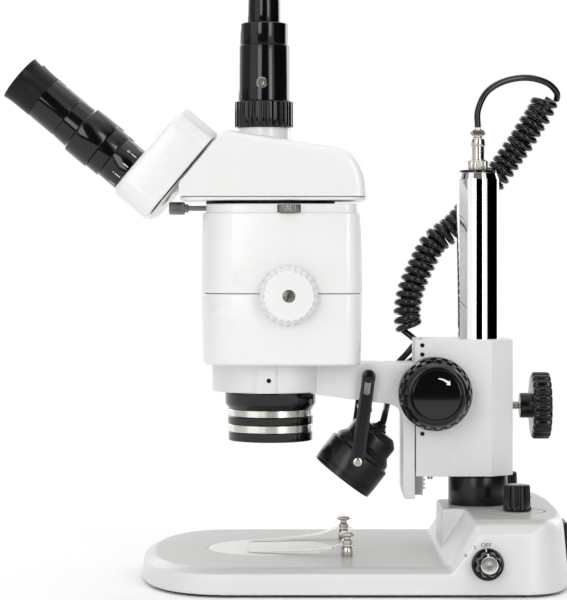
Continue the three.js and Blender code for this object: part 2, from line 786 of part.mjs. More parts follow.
// Side view of the head, counter-clockwise: inclined front, sloping top, rounded back.
const HEAD_PROFILE = [
  [-66.8, HEAD.bottom], [71.6, HEAD.bottom], [71, 297], [68.5, 308], [63.5, 316.5], [55, 321.8],
  [44, 324.2], [-30.5, 336.2], [-36.4, 333.4], [-67.2, 296.6],
].map(([x, z]) => new THREE.Vector2(x, z));

function headLevels(levels, floor) {
  return stackAcross(levels.map(([y, edge]) => {
    const outline = inset(HEAD_PROFILE, edge);
    outline[0].y = floor;
    outline[1].y = floor;
    return [y, outline];
  }));
}

function headHousing() {
  const w = HEAD.halfWidth;
  const edges = [[w, 7.5], [w - 1.2, 4], [w - 4, 1.6], [w - 10, 0]];
  const outer = [...edges.map(([y, edge]) => [-y, edge]), ...[...edges].reverse()];
  const inner = [[-w + 5, 6], [-w + 9, 4], [w - 9, 4], [w - 5, 6]];
  const neck = rod(HEAD.neck, 318, HEAD.neckTop, 40).translate(PORT_X, 0, 0);
  return cut(
    solid(headLevels(outer, HEAD.bottom)).add(solid(neck)),
    solid(headLevels(inner, HEAD.bottom - 5)),
    solid(rod(HEAD.bore, 310, HEAD.neckTop + 1, 36).translate(PORT_X, 0, 0)),
  );
}

function headBase() {
  const plan = { front: -66.8, rear: 71.6, halfWidth: 61, frontRadius: 12, rearRadius: 16 };
  const plate = stack([
    [284.2, roundedPlan(plan, 1)],
    [285, roundedPlan(plan, 0)],
    [286.7, roundedPlan(plan, 0)],
  ]);
  return solid(plate).add(solid(rod(49, 281.9, 284.6, 44)));
}

// Local frame of the binocular: x up the face, y across, z out along the eyepiece axis.
function binocularPlate() {
  const circles = [[18, 0, 18], [44, -38, 17], [44, 38, 17], [18, -30, 17], [18, 30, 17]];
  const outline = hull(circles, 0, 20);
  return solid(stack([[-34, outline], [-EYE.depth - GAP, outline]]));
}

function prismBox(side) {
  const { pivotUp, pivotY, spacing, depth } = EYE;
  const circles = [
    [pivotUp, side * pivotY, 29.2], [0, side * spacing, 20.4], [44, side * 45, 15.4],
    [-5, side * 45.4, 14.8],
  ];
  const levels = [[-depth, 1], [-depth + 1, 0], [-4, 0], [-1.4, 1.1], [0, 3.6]];
  return solid(stack(levels.map(([z, edge]) => [z, hull(circles, edge)])));
}

function dioptreRing() {
  return solid(ring([
    [13.4, 0.3], [17.2, 0.3], [17.5, 0.6], [17.5, 16.6], [17.2, 17], [13.4, 17],
  ], 32));
}

function eyepiece() {
  return solid(turned([
    [0, 3], [12.9, 3], [12.9, 17.3], [18.2, 17.3], [18.5, 17.7], [18.5, 28.1], [19.5, 28.6],
    [19.5, 48.4], [18.9, 49.1], [17.8, 49.3], [17.1, 61.7], [16.7, 62], [17, 62.4], [17, 85.5],
    [11, 85.5], [10, 82.5], [0, 82.5],
  ], 32));
}

function eyecup() {
  return solid(ring([
    [11.2, 85.8], [17.1, 85.8], [17.2, 100], [18.15, 108.2], [17.6, 108.7], [16.4, 108.4],
    [13.5, 98], [11.2, 90],
  ], 32));
}

function photoClampRing() {
  const outline = (edge) => fluted(22.25 - edge, 0.7, 24);
  const grip = stack([
    [340.3, outline(0.7)], [341.2, outline(0)], [359, outline(0)], [359.9, outline(0.7)],
  ]);
  return solid(grip).subtract(solid(rod(HEAD.bore, 330, 370, 36)));
}

function photoTube() {
  return solid(turned([
    [0, 398], [12, 398], [12, 330], [16.8, 330], [16.8, 360.2], [18.9, 360.2], [19.4, 360.8],
    [19.4, 402], [18.9, 402.5], [18.1, 402.7], [18.1, 419], [17.6, 419.6], [12.4, 419.8],
    [12.4, 437], [11.8, 437.6], [0, 437.6],
  ], 36));
}

// ---------------------------------------------------------------- lamp

// Fork: two cheeks outside the arm, joined by a bridge under it.
function lampFork() {
  const dx = FORK.x - lampPivot().x;
  const dz = FORK.z - lampPivot().z;
  const cheek = hull([[0, 0, FORK.halfWidth], [-dx, -dz, FORK.halfWidth]], 0, 20)
    .map((p) => [p.x + FORK.x, p.y + FORK.z]);
  const outer = FORK.inner + FORK.thickness;
  const cheeks = [-1, 1].map((side) => {
    const faces = [side * FORK.inner, side * outer].sort((a, b) => a - b);
    return solid(sidePlate(cheek, ...faces));
  });
  const bridge = solid(box([66.5, 76], [-outer, outer], [126.2, 128.8]));
  const bores = [[FORK.x, FORK.z, 2.4], [lampPivot().x, lampPivot().z, 2.2]].map(([x, z, r]) =>
    solid(aim(rod(r, -50, 50, 16), "y", [x, 0, z])),
  );
  return cut(join(bridge, ...cheeks), ...bores);
}

function lampPivot() {
  const lean = THREE.MathUtils.degToRad(LAMP.tilt);
  return { x: LAMP.x + LAMP.pivotUp * Math.sin(lean), z: LAMP.z + LAMP.pivotUp * Math.cos(lean) };
}

function forkKnob() {
  const outer = FORK.inner + FORK.thickness;
  return solid(turned([
    [0, 22], [2, 22], [2, outer + 0.3], [4.2, outer + 0.3], [4.75, outer + 0.9],
    [4.75, outer + 4.8], [4, outer + 5.6], [0, outer + 5.6],
  ], 20));
}

function lampScrew() {
  const outer = FORK.inner + FORK.thickness;
  return solid(turned([
    [0, 23.6], [1.8, 23.6], [1.8, outer + 0.3], [3.5, outer + 0.3], [3.5, outer + 1.6],
    [2.6, outer + 2.3], [0, outer + 2.3],
  ], 20));
}

// Lamp housing along its own axis, from the face at 0 to the back.
function lampHousing() {
  const shell = solid(turned([
    [0, 35], [17, 35], [22.9, 27], [22.9, 2.6], [21.2, 2.6], [21.2, 0.5], [24.6, 0], [25.35, 0.7],
    [25.35, 22.8], [23, 24], [20.4, 26.4], [19.2, 30], [19, 41.6], [14.5, LAMP.length],
    [0, LAMP.length],
  ], 40));
  const bores = solid(aim(rod(2.2, -40, 40, 16), "y", [0, 0, LAMP.pivotUp]));
  return shell.subtract(bores);
}

function lampGlass() {
  return solid(turned([[0, 2.9], [22.5, 2.9], [22.5, 4.7], [0, 4.7]], 36));
}

function lampBulb() {
  return solid(turned([
    [0, 24], [3.4, 24], [4, 21.5], [4, 12], [3, 9.6], [0, 9.2],
  ], 20)).add(solid(turned([
    [0, 26], [5, 24], [13, 17.2], [20.4, 5], [21.6, 5], [19.5, 13], [13.6, 21.6], [7.4, 27.4],
    [7.4, 34.4], [0, 34.4],
  ], 32))).add(solid(rod(3.4, 22, 27, 20)));
}

function lampGland() {
  const z = LAMP.length + GAP;
  return solid(turned([[0, z], [5, z], [5, z + 2], [4.2, z + 2.6], [3.6, z + 5], [0, z + 5]], 20));
}

// ---------------------------------------------------------------- cord

// Centre line of the curly stretch, from its upper to its lower end.
const COIL_LINE = [
  [212.5, 25, 363.5], [207.5, 26, 352.5], [200.5, 27, 342], [194, 28, 331], [187, 29.5, 321.5],
  [179.5, 30.5, 310.5], [174, 31, 303.5], [158.8, 31.5, 284.8], [143, 31, 266], [127, 30.5, 253.5],
  [120, 30.5, 242], [114.8, 30.5, 231.2], [110, 30.5, 220.4], [107, 30.5, 209.6], [105.6, 30.5, 196.6],
  [107.4, 30.5, 186.2],
];
const UPPER_LEAD = [
  [158, 0, CORD.plugTop], [158.2, 0.4, 353.8], [165, 2.5, 367.5], [178.7, 6, 376],
  [196.2, 10, 379], [212, 15, 374.8], [219.6, 20.2, 369],
];
const LOWER_LEAD = [
  [113, 33, 182.6], [112.4, 34, 176.5], [105.5, 33.4, 166.5], [98.2, 31.6, 158.5],
  [93.4, 31, 149], [91.2, 31, 138], [91, 29, 128.5], [91.3, 19, 121.8], [89.4, 7, 120.8],
  [85.9, 0, 117.9],
];

function addCord() {
  piece("cord_upper_lead", solid(tube(UPPER_LEAD, CORD.radius, 14)), "cordBlack");
  piece("cord_coil", solid(tube(COIL_LINE, CORD.coil, 18, 10)), "cordBlack");
  piece("cord_lower_lead", solid(tube(LOWER_LEAD, CORD.radius, 16)), "cordBlack");
}

// ---------------------------------------------------------------- assembly

function addBase() {
  piece("base_casting", baseCasting(), "whiteSatin");
  piece("base_cover", baseCover(), "blackSatin");
  let number = 1;
  for (const [x, y] of FOOT.at) {
    for (const side of [-1, 1]) {
      piece(`foot_${number}`, foot(), "rubber").position.set(x, side * y, 0);
      number += 1;
    }
  }
  piece("stage_plate", stagePlate(), "stageWhite");
  piece("power_inlet", powerInlet(), "blackSatin");
  const wall = frameAt(SWITCH.x, SWITCH.y, SWITCH.z, 0, 90 - SWITCH.lean);
  piece("mode_knob", modeKnob(), "blackGloss", wall);
  for (const [name, side] of Object.entries(SIDES)) {
    piece(`brightness_knob_${name}`, brightnessKnob(), "blackSatin").position.set(183, side * 50, 0);
    const clip = frameAt(CLIP.x, side * CLIP.y, 0);
    const swing = Math.atan2(CLIP.y - CLIP.tipY, CLIP.x - CLIP.tipX);
    clip.rotation.z = side * swing;
    piece(`clip_post_${name}`, clipPost(), "steel", clip);
    piece(`clip_spring_${name}`, clipSpring(), "steel", clip);
  }
}

function addPillar() {
  const pieces = [
    ["pillar", pillar(), "chrome"],
    ["pillar_cap", pillarCap(), "blackGloss"],
    ["lamp_plug", lampPlug(), "steel"],
    ["stop_collar", stopCollar(), "blackGloss"],
  ];
  for (const [name, shape, finish] of pieces) piece(name, shape, finish).position.x = PILLAR.x;
}

function addFocus() {
  piece("focus_block", focusBlock(), "whiteSatin");
  piece("clamp_screw", clampScrew(), "blackSatin");
  piece("focus_shaft", focusShaft(), "steel").position.set(FOCUS.x, 0, FOCUS.z);
  piece("focus_rack", rack(), "steel");
  piece("arm_carriage", armCarriage(), "whiteSatin");
  for (const [name, side] of Object.entries(SIDES)) {
    const knob = piece(`focus_knob_${name}`, focusKnob(), "blackSatin");
    knob.position.set(FOCUS.x, side * FOCUS.knobBack, FOCUS.z);
    knob.rotation.x = -side * Math.PI / 2;
  }
}

function addZoomBody() {
  piece("zoom_body_lower", zoomBodyLower(), "whiteGloss");
  piece("zoom_body_upper", zoomBodyUpper(), "whiteGloss");
  piece("objective_barrel", objectiveBarrel(), "blackGloss");
  piece("objective_lens", objectiveLens(), "glass");
  piece("aperture_wheel", apertureWheel(), "darkSteel").position.set(APERTURE.x, APERTURE.y, 0);
  piece("head_lock_screw", lockScrew(), "darkSteel");
  piece("zoom_shaft", zoomShaft(), "steel");
  for (const [name, side] of Object.entries(SIDES)) {
    const knob = piece(`zoom_knob_${name}`, zoomKnob(), "whiteGloss");
    knob.position.set(ZOOM.x, side * (BODY.halfWidth + 0.8), ZOOM.z);
    knob.rotation.x = -side * Math.PI / 2;
  }
}

function addHead() {
  piece("head_base", headBase(), "whiteGloss");
  piece("head_housing", headHousing(), "whiteGloss");
  piece("photo_clamp_ring", photoClampRing(), "blackGloss").position.x = PORT_X;
  piece("photo_tube", photoTube(), "blackGloss").position.x = PORT_X;
  const binocular = frameAt(EYE.x, 0, EYE.z, EYE.tilt - 90);
  piece("binocular_plate", binocularPlate(), "steel", binocular);
  for (const [name, side] of Object.entries(SIDES)) {
    piece(`prism_box_${name}`, prismBox(side), "whiteGloss", binocular);
    const pieces = [
      [`dioptre_ring_${name}`, dioptreRing(), "blackSatin"],
      [`eyepiece_${name}`, eyepiece(), "blackSatin"],
      [`eyecup_${name}`, eyecup(), "rubber"],
    ];
    for (const [node, shape, finish] of pieces) {
      piece(node, shape, finish, binocular).position.y = side * EYE.spacing;
    }
  }
}

function addLamp() {
  piece("lamp_fork", lampFork(), "blackSatin");
  for (const [name, side] of Object.entries(SIDES)) {
    const turn = -side * Math.PI / 2;
    const knob = piece(`fork_knob_${name}`, forkKnob(), "blackSatin");
    knob.position.set(FORK.x, 0, FORK.z);
    knob.rotation.x = turn;
    const screw = piece(`lamp_screw_${name}`, lampScrew(), "steel");
    screw.position.set(lampPivot().x, 0, lampPivot().z);
    screw.rotation.x = turn;
  }
  const lamp = frameAt(LAMP.x, 0, LAMP.z, LAMP.tilt);
  piece("lamp_housing", lampHousing(), "blackSatin", lamp);
  piece("lamp_glass", lampGlass(), "glass", lamp);
  piece("lamp_bulb", lampBulb(), "aluminium", lamp);
  piece("lamp_gland", lampGland(), "blackSatin", lamp);
}

addBase();
addPillar();
addFocus();
addZoomBody();
addHead();
addLamp();
addCord();

export default root;
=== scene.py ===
"""Looks of a stereo zoom microscope on a pillar stand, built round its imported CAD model.

Every piece is drawn in millimetres in a frame of its own and then placed. The modelling frame has
the optical axis at X = 0, Y = 0 and the bench at Z = 0; the observer sits at -X and the
observer's right hand is -Y. spot() turns that frame into the row frame.
"""
import json
import logging
import math
from collections.abc import Sequence
from dataclasses import dataclass
from enum import Enum

import bmesh
import bpy
from mathutils import Matrix, Vector

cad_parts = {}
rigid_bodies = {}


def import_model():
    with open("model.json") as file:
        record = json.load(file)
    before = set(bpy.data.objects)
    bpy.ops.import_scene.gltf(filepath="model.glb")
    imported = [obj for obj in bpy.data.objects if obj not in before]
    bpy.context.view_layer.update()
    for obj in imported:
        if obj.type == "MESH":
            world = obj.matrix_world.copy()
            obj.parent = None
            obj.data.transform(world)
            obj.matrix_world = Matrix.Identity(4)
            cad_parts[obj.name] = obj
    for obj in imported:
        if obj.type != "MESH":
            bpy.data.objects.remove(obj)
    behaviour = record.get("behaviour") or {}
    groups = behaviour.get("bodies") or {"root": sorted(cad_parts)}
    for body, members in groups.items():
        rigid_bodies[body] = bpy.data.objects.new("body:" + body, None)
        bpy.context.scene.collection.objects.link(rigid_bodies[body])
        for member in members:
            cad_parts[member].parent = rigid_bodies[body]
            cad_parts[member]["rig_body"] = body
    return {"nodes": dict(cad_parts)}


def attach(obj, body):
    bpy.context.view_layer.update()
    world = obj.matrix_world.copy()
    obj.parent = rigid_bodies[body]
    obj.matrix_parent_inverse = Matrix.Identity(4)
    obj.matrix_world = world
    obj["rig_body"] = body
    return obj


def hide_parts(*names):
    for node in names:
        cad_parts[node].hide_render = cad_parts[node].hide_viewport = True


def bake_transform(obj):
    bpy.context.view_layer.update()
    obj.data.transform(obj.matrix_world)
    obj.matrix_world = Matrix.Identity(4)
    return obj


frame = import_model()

LOG = logging.getLogger("microscope")
MM = 0.001
ORIGIN_MM = Vector((-13.9, 8.139, 0.0))
TURN_SEGMENTS = 96
WHITE = (1.0, 1.0, 1.0, 1.0)
Pair = tuple[float, float]
Triple = tuple[float, float, float]
Outline = list[Pair]
Socket = bpy.types.NodeSocket

# Places that several assemblies share, in millimetres of the modelling frame.
PLATE_TOP = 20.7
SWITCH_X, LABELS_Z = 155.0, 25.0
BRIGHTNESS_KNOBS = (183.0, 50.0)
PILLAR_X = 158.0
CLAMP_Z = 128.8
FOCUS_SHAFT = (123.0, 140.0)
FORK_PIVOT = (73.8, 152.9)
ZOOM_SHAFT = (13.9, 213.6)
HEAD_LOCK_Z = 278.8
PORT_X = -5.0

# Edges shorter than this share of a mesh's reach are dropped.
SHORTEST_EDGE = 2e-6
# The font's size for letters of height 1.
FONT_SIZE = 1.4


class Side(Enum):
    """The observer's right hand (-Y) and left hand (+Y)."""

    RIGHT = -1
    LEFT = 1

    @property
    def word(self) -> str:
        """The side's name as the CAD nodes spell it."""
        return self.name.lower()


# ---- shapes


@dataclass
class Shape:
    """A closed mesh under construction, in millimetres.

    Attributes:
        points: the corners.
        faces: corner numbers of each face, seen from outside.
    """

    points: list[Vector]
    faces: list[tuple[int, ...]]

    def moved(self, x: float = 0.0, y: float = 0.0, z: float = 0.0) -> "Shape":
        """Returns a copy shifted by x, y and z."""
        shift = Vector((x, y, z))
        return Shape([p + shift for p in self.points], list(self.faces))

    def turned(self, axis: str, degrees: float) -> "Shape":
        """Returns a copy turned about one axis through the origin."""
        matrix = Matrix.Rotation(math.radians(degrees), 3, axis)
        return Shape([matrix @ p for p in self.points], list(self.faces))

    def plus(self, *others: "Shape") -> "Shape":
        """Returns one mesh that holds this shape and the others as loose shells."""
        points, faces = list(self.points), list(self.faces)
        for other in others:
            start = len(points)
            points += other.points
            faces += [tuple(i + start for i in face) for face in other.faces]
        return Shape(points, faces)

    def cut(self, *tools: "Shape") -> "Shape":
        """Returns this shape with the tools, which may not touch each other, taken away."""
        return self._with("DIFFERENCE", tools[0].plus(*tools[1:]))

    def joined(self, *others: "Shape") -> "Shape":
        """Returns the union of this shape with others that may overlap."""
        whole = self
        for other in others:
            whole = whole._with("UNION", other)
        return whole

    def common(self, other: "Shape") -> "Shape":
        """Returns what this shape and another share."""
        return self._with("INTERSECT", other)

    def _with(self, operation: str, tool: "Shape") -> "Shape":
        """Runs one boolean.

        Args:
            operation: DIFFERENCE, UNION or INTERSECT.
            tool: the other solid.

        Returns:
            The resulting shape.
        """
        body, cutter = self.scratch(), tool.scratch()
        modifier = body.modifiers.new("solid", "BOOLEAN")
        modifier.operation, modifier.object, modifier.solver = operation, cutter, "EXACT"
        made = Shape.read(body)
        discard(body, cutter)
        return made

    def softened(self, voxel: float, passes: int) -> "Shape":
        """Returns the shape with every edge and inner corner rounded, as a casting has.

        Args:
            voxel: the grid pitch in millimetres.
            passes: how many times the surface is relaxed.

        Returns:
            The rounded shape.
        """
        body = self.scratch()
        remesh = body.modifiers.new("grid", "REMESH")
        remesh.mode, remesh.voxel_size = "VOXEL", voxel
        smooth = body.modifiers.new("relax", "SMOOTH")
        smooth.factor, smooth.iterations = 0.5, passes
        made = Shape.read(body)
        discard(body)
        return made

    def scratch(self) -> bpy.types.Object:
        """Returns a working object of this shape, in millimetres."""
        mesh = bpy.data.meshes.new("scratch")
        mesh.from_pydata([tuple(p) for p in self.points], [], self.faces)
        outward(mesh)
        return shown("scratch", mesh)

    @staticmethod
    def read(body: bpy.types.Object) -> "Shape":
        """Returns the shape of an object with its modifiers applied."""
        bpy.context.view_layer.update()
        mesh = body.evaluated_get(bpy.context.evaluated_depsgraph_get()).to_mesh()
        points = [v.co.copy() for v in mesh.vertices]
        return Shape(points, [tuple(p.vertices) for p in mesh.polygons])


def shown(name: str, data: bpy.types.ID) -> bpy.types.Object:
    """Makes an object of some data and puts it in the scene."""
    made = bpy.data.objects.new(name, data)
    bpy.context.scene.collection.objects.link(made)
    return made


def discard(*bodies: bpy.types.Object) -> None:
    """Removes working objects and their meshes."""
    for body in bodies:
        mesh = body.data
        bpy.data.objects.remove(body)
        bpy.data.meshes.remove(mesh)


def outward(mesh: bpy.types.Mesh) -> None:
    """Turns the faces of a mesh outwards, after dropping any edges of no length."""
    bm = bmesh.new()
    bm.from_mesh(mesh)
    bmesh.ops.remove_doubles(bm, verts=bm.verts, dist=mesh_tolerance(mesh))
    bmesh.ops.recalc_face_normals(bm, faces=bm.faces)
    bm.to_mesh(mesh)
    bm.free()


def mesh_tolerance(mesh: bpy.types.Mesh) -> float:
    """Returns the distance under which two corners count as one."""
    reach = max((abs(c) for v in mesh.vertices for c in v.co), default=1.0)
    return reach * SHORTEST_EDGE


def lathe(profile: Outline, segments: int = TURN_SEGMENTS, ring: bool = False) -> Shape:
    """Turns a profile round the Z axis.

    Args:
        profile: (radius, height) pairs, from the axis back to the axis.
        segments: how many steps the turn takes.
        ring: closes the profile on itself, for a piece with a bore.

    Returns:
        The turned shape.
    """
    points: list[Vector] = []
    rings: list[list[int]] = []
    for radius, height in profile:
        count = 1 if radius < 1e-6 else segments
        rings.append(list(range(len(points), len(points) + count)))
        for i in range(count):
            angle = math.tau * i / segments
            points.append(Vector((radius * math.cos(angle), radius * math.sin(angle), height)))
    faces: list[tuple[int, ...]] = []
    pairs = list(zip(rings, rings[1:]))
    if ring:
        pairs.append((rings[-1], rings[0]))
    for low, high in pairs:
        for i in range(segments):
            j = (i + 1) % segments
            if len(low) == 1 and len(high) == 1:
                break
            if len(low) == 1:
                faces.append((low[0], high[j], high[i]))
            elif len(high) == 1:
                faces.append((low[i], low[j], high[0]))
            else:
                faces.append((low[i], low[j], high[j], high[i]))
    return Shape(points, faces)


def rod(radius: float, low: float, high: float, segments: int = 48, edge: float = 0.0) -> Shape:
    """A plain rod along Z, with its two rims broken by edge.

    Args:
        radius: its radius.
        low: where it starts.
        high: where it ends.
        segments: the sides of its round.
        edge: the bevel of both rims.

    Returns:
        The rod.
    """
    if edge:
        profile = [(0, low), (radius - edge, low), (radius, low + edge), (radius, high - edge),
                   (radius - edge, high), (0, high)]
    else:
        profile = [(0, low), (radius, low), (radius, high), (0, high)]
    return lathe(profile, segments)


def skinned(rings: Sequence[Sequence[Vector]]) -> Shape:
    """Joins rings of equal count into one skin, with a flat cap at each end.

    Args:
        rings: the corners of each ring, in order along the piece.

    Returns:
        The closed shape.
    """
    count, last = len(rings[0]), (len(rings) - 1) * len(rings[0])
    faces: list[tuple[int, ...]] = [tuple(reversed(range(count)))]
    for low in range(0, last, count):
        for i in range(count):
            j = (i + 1) % count
            faces.append((low + i, low + j, low + count + j, low + count + i))
    faces.append(tuple(range(last, last + count)))
    return Shape([point for ring in rings for point in ring], faces)


def loft(levels: Sequence[tuple[float, Outline]]) -> Shape:
    """Skins outlines of equal count, stacked along Z, and caps both ends."""
    return skinned([[Vector((x, y, z)) for x, y in outline] for z, outline in levels])


def slab(outline: Outline, low: float, high: float, edge: float = 0.0) -> Shape:
    """A flat plate of one outline, with its edges broken by edge.

    Args:
        outline: its plan.
        low: its lower face.
        high: its upper face.
        edge: how far its edges are broken.

    Returns:
        The plate.
    """
    if not edge:
        return loft([(low, outline), (high, outline)])
    small = inset(outline, edge)
    half = inset(outline, edge * 0.29)
    return loft([(low, small), (low + edge * 0.29, half), (low + edge, outline),
                 (high - edge, outline), (high - edge * 0.29, half), (high, small)])


def upright(shape: Shape) -> Shape:
    """Turns a shape drawn in X and Y so that it is drawn in X and Z, stacked along -Y."""
    return shape.turned("X", 90)


def crosswise(radius: float, reach: float, x: float, z: float, segments: int = 32) -> Shape:
    """A rod along Y that runs this far to both sides."""
    return rod(radius, -reach, reach, segments).turned("X", 90).moved(x, 0, z)


def block(x: Pair, y: Pair, z: Pair) -> Shape:
    """A box between two values on each axis."""
    return slab([(x[0], y[0]), (x[1], y[0]), (x[1], y[1]), (x[0], y[1])], z[0], z[1])


def smooth_path(points: Sequence[Vector], steps: int) -> list[Vector]:
    """A smooth line through points, with this many steps between each two.

    Args:
        points: the points it passes through.
        steps: steps between two points.

    Returns:
        The points of the line.
    """
    padded = [points[0] * 2 - points[1], *points, points[-1] * 2 - points[-2]]
    line: list[Vector] = []
    for a, b, c, d in zip(padded, padded[1:], padded[2:], padded[3:]):
        for i in range(steps):
            t = i / steps
            line.append(0.5 * (2 * b + (c - a) * t + (2 * a - 5 * b + 4 * c - d) * t * t
                               + (3 * b - a - 3 * c + d) * t ** 3))
    return [*line, points[-1].copy()]


def frames_along(line: Sequence[Vector]) -> list[tuple[Vector, Vector]]:
    """Two cross directions at each point of a line, carried along it without twisting.

    Args:
        line: the line.

    Returns:
        The two directions at each point.
    """
    frames: list[tuple[Vector, Vector]] = []
    across = Vector((0, 1, 0))
    for i in range(len(line)):
        ahead = (line[min(i + 1, len(line) - 1)] - line[max(i - 1, 0)]).normalized()
        across = (across - ahead * across.dot(ahead)).normalized()
        frames.append((across.copy(), ahead.cross(across)))
    return frames


def tube(line: Sequence[Vector], radius: float, sides: int = 16) -> Shape:
    """A round tube along a line, with closed ends."""
    turns = [(math.cos(math.tau * i / sides), math.sin(math.tau * i / sides))
             for i in range(sides)]
    return skinned([[centre + (u * c + v * s) * radius for c, s in turns]
                    for centre, (u, v) in zip(line, frames_along(line))])


# ---- outlines


def arc(x: float, y: float, radius: float, start: float, end: float, steps: int) -> Outline:
    """Points on an arc about (x, y), from one angle to another in degrees."""
    angles = [math.radians(start + (end - start) * i / steps) for i in range(steps + 1)]
    return [(x + radius * math.cos(a), y + radius * math.sin(a)) for a in angles]


def bulge(a: Pair, b: Pair, turn: float, steps: int) -> Outline:
    """Points on the arc from a to b that turns left by turn degrees, ends included.

    Args:
        a: where it starts.
        b: where it ends.
        turn: how far it turns.
        steps: how many steps it takes.

    Returns:
        The points.
    """
    half = math.radians(turn) / 2
    dx, dy = b[0] - a[0], b[1] - a[1]
    chord = math.hypot(dx, dy)
    radius = chord / (2 * math.sin(half))
    rise = radius * math.cos(half)
    cx = (a[0] + b[0]) / 2 - dy / chord * rise
    cy = (a[1] + b[1]) / 2 + dx / chord * rise
    start = math.degrees(math.atan2(a[1] - cy, a[0] - cx))
    return arc(cx, cy, radius, start, start + turn, steps)


def bezier(points: Sequence[Pair], steps: int) -> Outline:
    """Points on a Bezier curve of any order, without its first point.

    Args:
        points: its control points.
        steps: how many steps it takes.

    Returns:
        The points.
    """
    made: Outline = []
    order = len(points) - 1
    for i in range(1, steps + 1):
        t = i / steps
        share = [math.comb(order, k) * t ** k * (1 - t) ** (order - k) for k in range(order + 1)]
        made.append((sum(s * p[0] for s, p in zip(share, points)),
                     sum(s * p[1] for s, p in zip(share, points))))
    return made


def mirrored(near: Outline) -> Outline:
    """Closes an outline drawn on the near side with its mirror image on the far side."""
    return near + [(x, -y) for x, y in reversed(near)]


def inset(outline: Outline, distance: float) -> Outline:
    """Moves each point of a counter-clockwise outline inwards.

    Args:
        outline: the outline.
        distance: how far its sides move.

    Returns:
        The smaller outline.
    """
    made: Outline = []
    for i, (x, y) in enumerate(outline):
        before, after = outline[i - 1], outline[(i + 1) % len(outline)]
        first = Vector((x - before[0], y - before[1])).normalized()
        second = Vector((after[0] - x, after[1] - y)).normalized()
        normal = Vector((-first.y - second.y, first.x + second.x)).normalized()
        spread = max(0.5, normal.dot(Vector((-first.y, first.x))))
        made.append((x + normal.x * distance / spread, y + normal.y * distance / spread))
    return made


def hull(circles: Sequence[Triple], shrink: float, steps: int = 64) -> Outline:
    """The tight outline round several circles (x, y, radius), each smaller by shrink.

    Args:
        circles: the circles.
        shrink: taken off each radius.
        steps: points on each circle.

    Returns:
        The outline, counter-clockwise.
    """
    cloud = sorted({p for x, y, r in circles for p in arc(x, y, r - shrink, 0, 360, steps)[1:]})

    def half(points: Outline) -> Outline:
        """One side of the outline, left to right or right to left."""
        chain: Outline = []
        for p in points:
            while len(chain) > 1:
                (ax, ay), (bx, by) = chain[-2:]
                if (bx - ax) * (p[1] - ay) - (by - ay) * (p[0] - ax) > 1e-9:
                    break
                chain.pop()
            chain.append(p)
        return chain[:-1]

    return half(cloud) + half(cloud[::-1])


def evened(outline: Outline, count: int) -> Outline:
    """The same closed outline with count evenly spaced points, from its point furthest to +X.

    Args:
        outline: the outline.
        count: how many points it gets.

    Returns:
        The new outline.
    """
    start = max(range(len(outline)), key=lambda i: (round(outline[i][0], 4), -abs(outline[i][1])))
    loop = outline[start:] + outline[:start + 1]
    lengths = [math.dist(a, b) for a, b in zip(loop, loop[1:])]
    step, made, walked, i = sum(lengths) / count, [], 0.0, 0
    for n in range(count):
        while walked + lengths[i] < n * step - 1e-9:
            walked += lengths[i]
            i += 1
        t = (n * step - walked) / max(lengths[i], 1e-9)
        (ax, ay), (bx, by) = loop[i], loop[i + 1]
        made.append((ax + (bx - ax) * t, ay + (by - ay) * t))
    return made


def scalloped(radius: float, depth: float, count: int, sharp: float = 1.0,
              per: int = 12) -> Outline:
    """A round outline with evenly spaced hollows.

    Args:
        radius: the outer radius.
        depth: how deep each hollow is.
        count: how many hollows.
        sharp: 1 for round waves; more gives narrow grooves between flat lands.
        per: points for each hollow.

    Returns:
        The outline, counter-clockwise.
    """
    made: Outline = []
    for i in range(count * per):
        angle = math.tau * i / (count * per)
        wave = 0.5 + 0.5 * math.cos(count * angle)
        r = radius - depth * wave ** sharp
        made.append((r * math.cos(angle), r * math.sin(angle)))
    return made


def fluted(rows: Sequence[Triple], count: int, sharp: float = 1.0, per: int = 12) -> Shape:
    """Stacks scalloped outlines, each row being a height, a radius and a depth of hollow."""
    return loft([(z, scalloped(r, depth, count, sharp, per)) for z, r, depth in rows])


# ---- placing


def spot(x: float, y: float, z: float, tilt_x: float = 0.0, tilt_y: float = 0.0,
         turn_z: float = 0.0) -> Matrix:
    """The place of a piece: a point of the modelling frame and three turns in degrees.

    Args:
        x: millimetres along X.
        y: millimetres along Y.
        z: millimetres above the bench.
        tilt_x: turn about X, taken first.
        tilt_y: turn about Y, taken second.
        turn_z: turn about Z, taken last.

    Returns:
        The matrix that carries the piece into the row frame, in metres.
    """
    place = Matrix.Translation((Vector((x, y, z)) + ORIGIN_MM) * MM)
    for axis, angle in (("Z", turn_z), ("Y", tilt_y), ("X", tilt_x)):
        place = place @ Matrix.Rotation(math.radians(angle), 4, axis)
    return place


def facing(side: Side, x: float, y: float, z: float) -> Matrix:
    """The place of a piece whose Z points out sideways, at y from the middle."""
    return spot(x, side.value * y, z, tilt_x=-90 * side.value)


HOME = spot(0, 0, 0)


@dataclass(frozen=True)
class Mount:
    """What a piece rides on and which finish slot and CAD nodes it stands for."""

    body: str
    slot: str
    nodes: tuple[str, ...] = ()


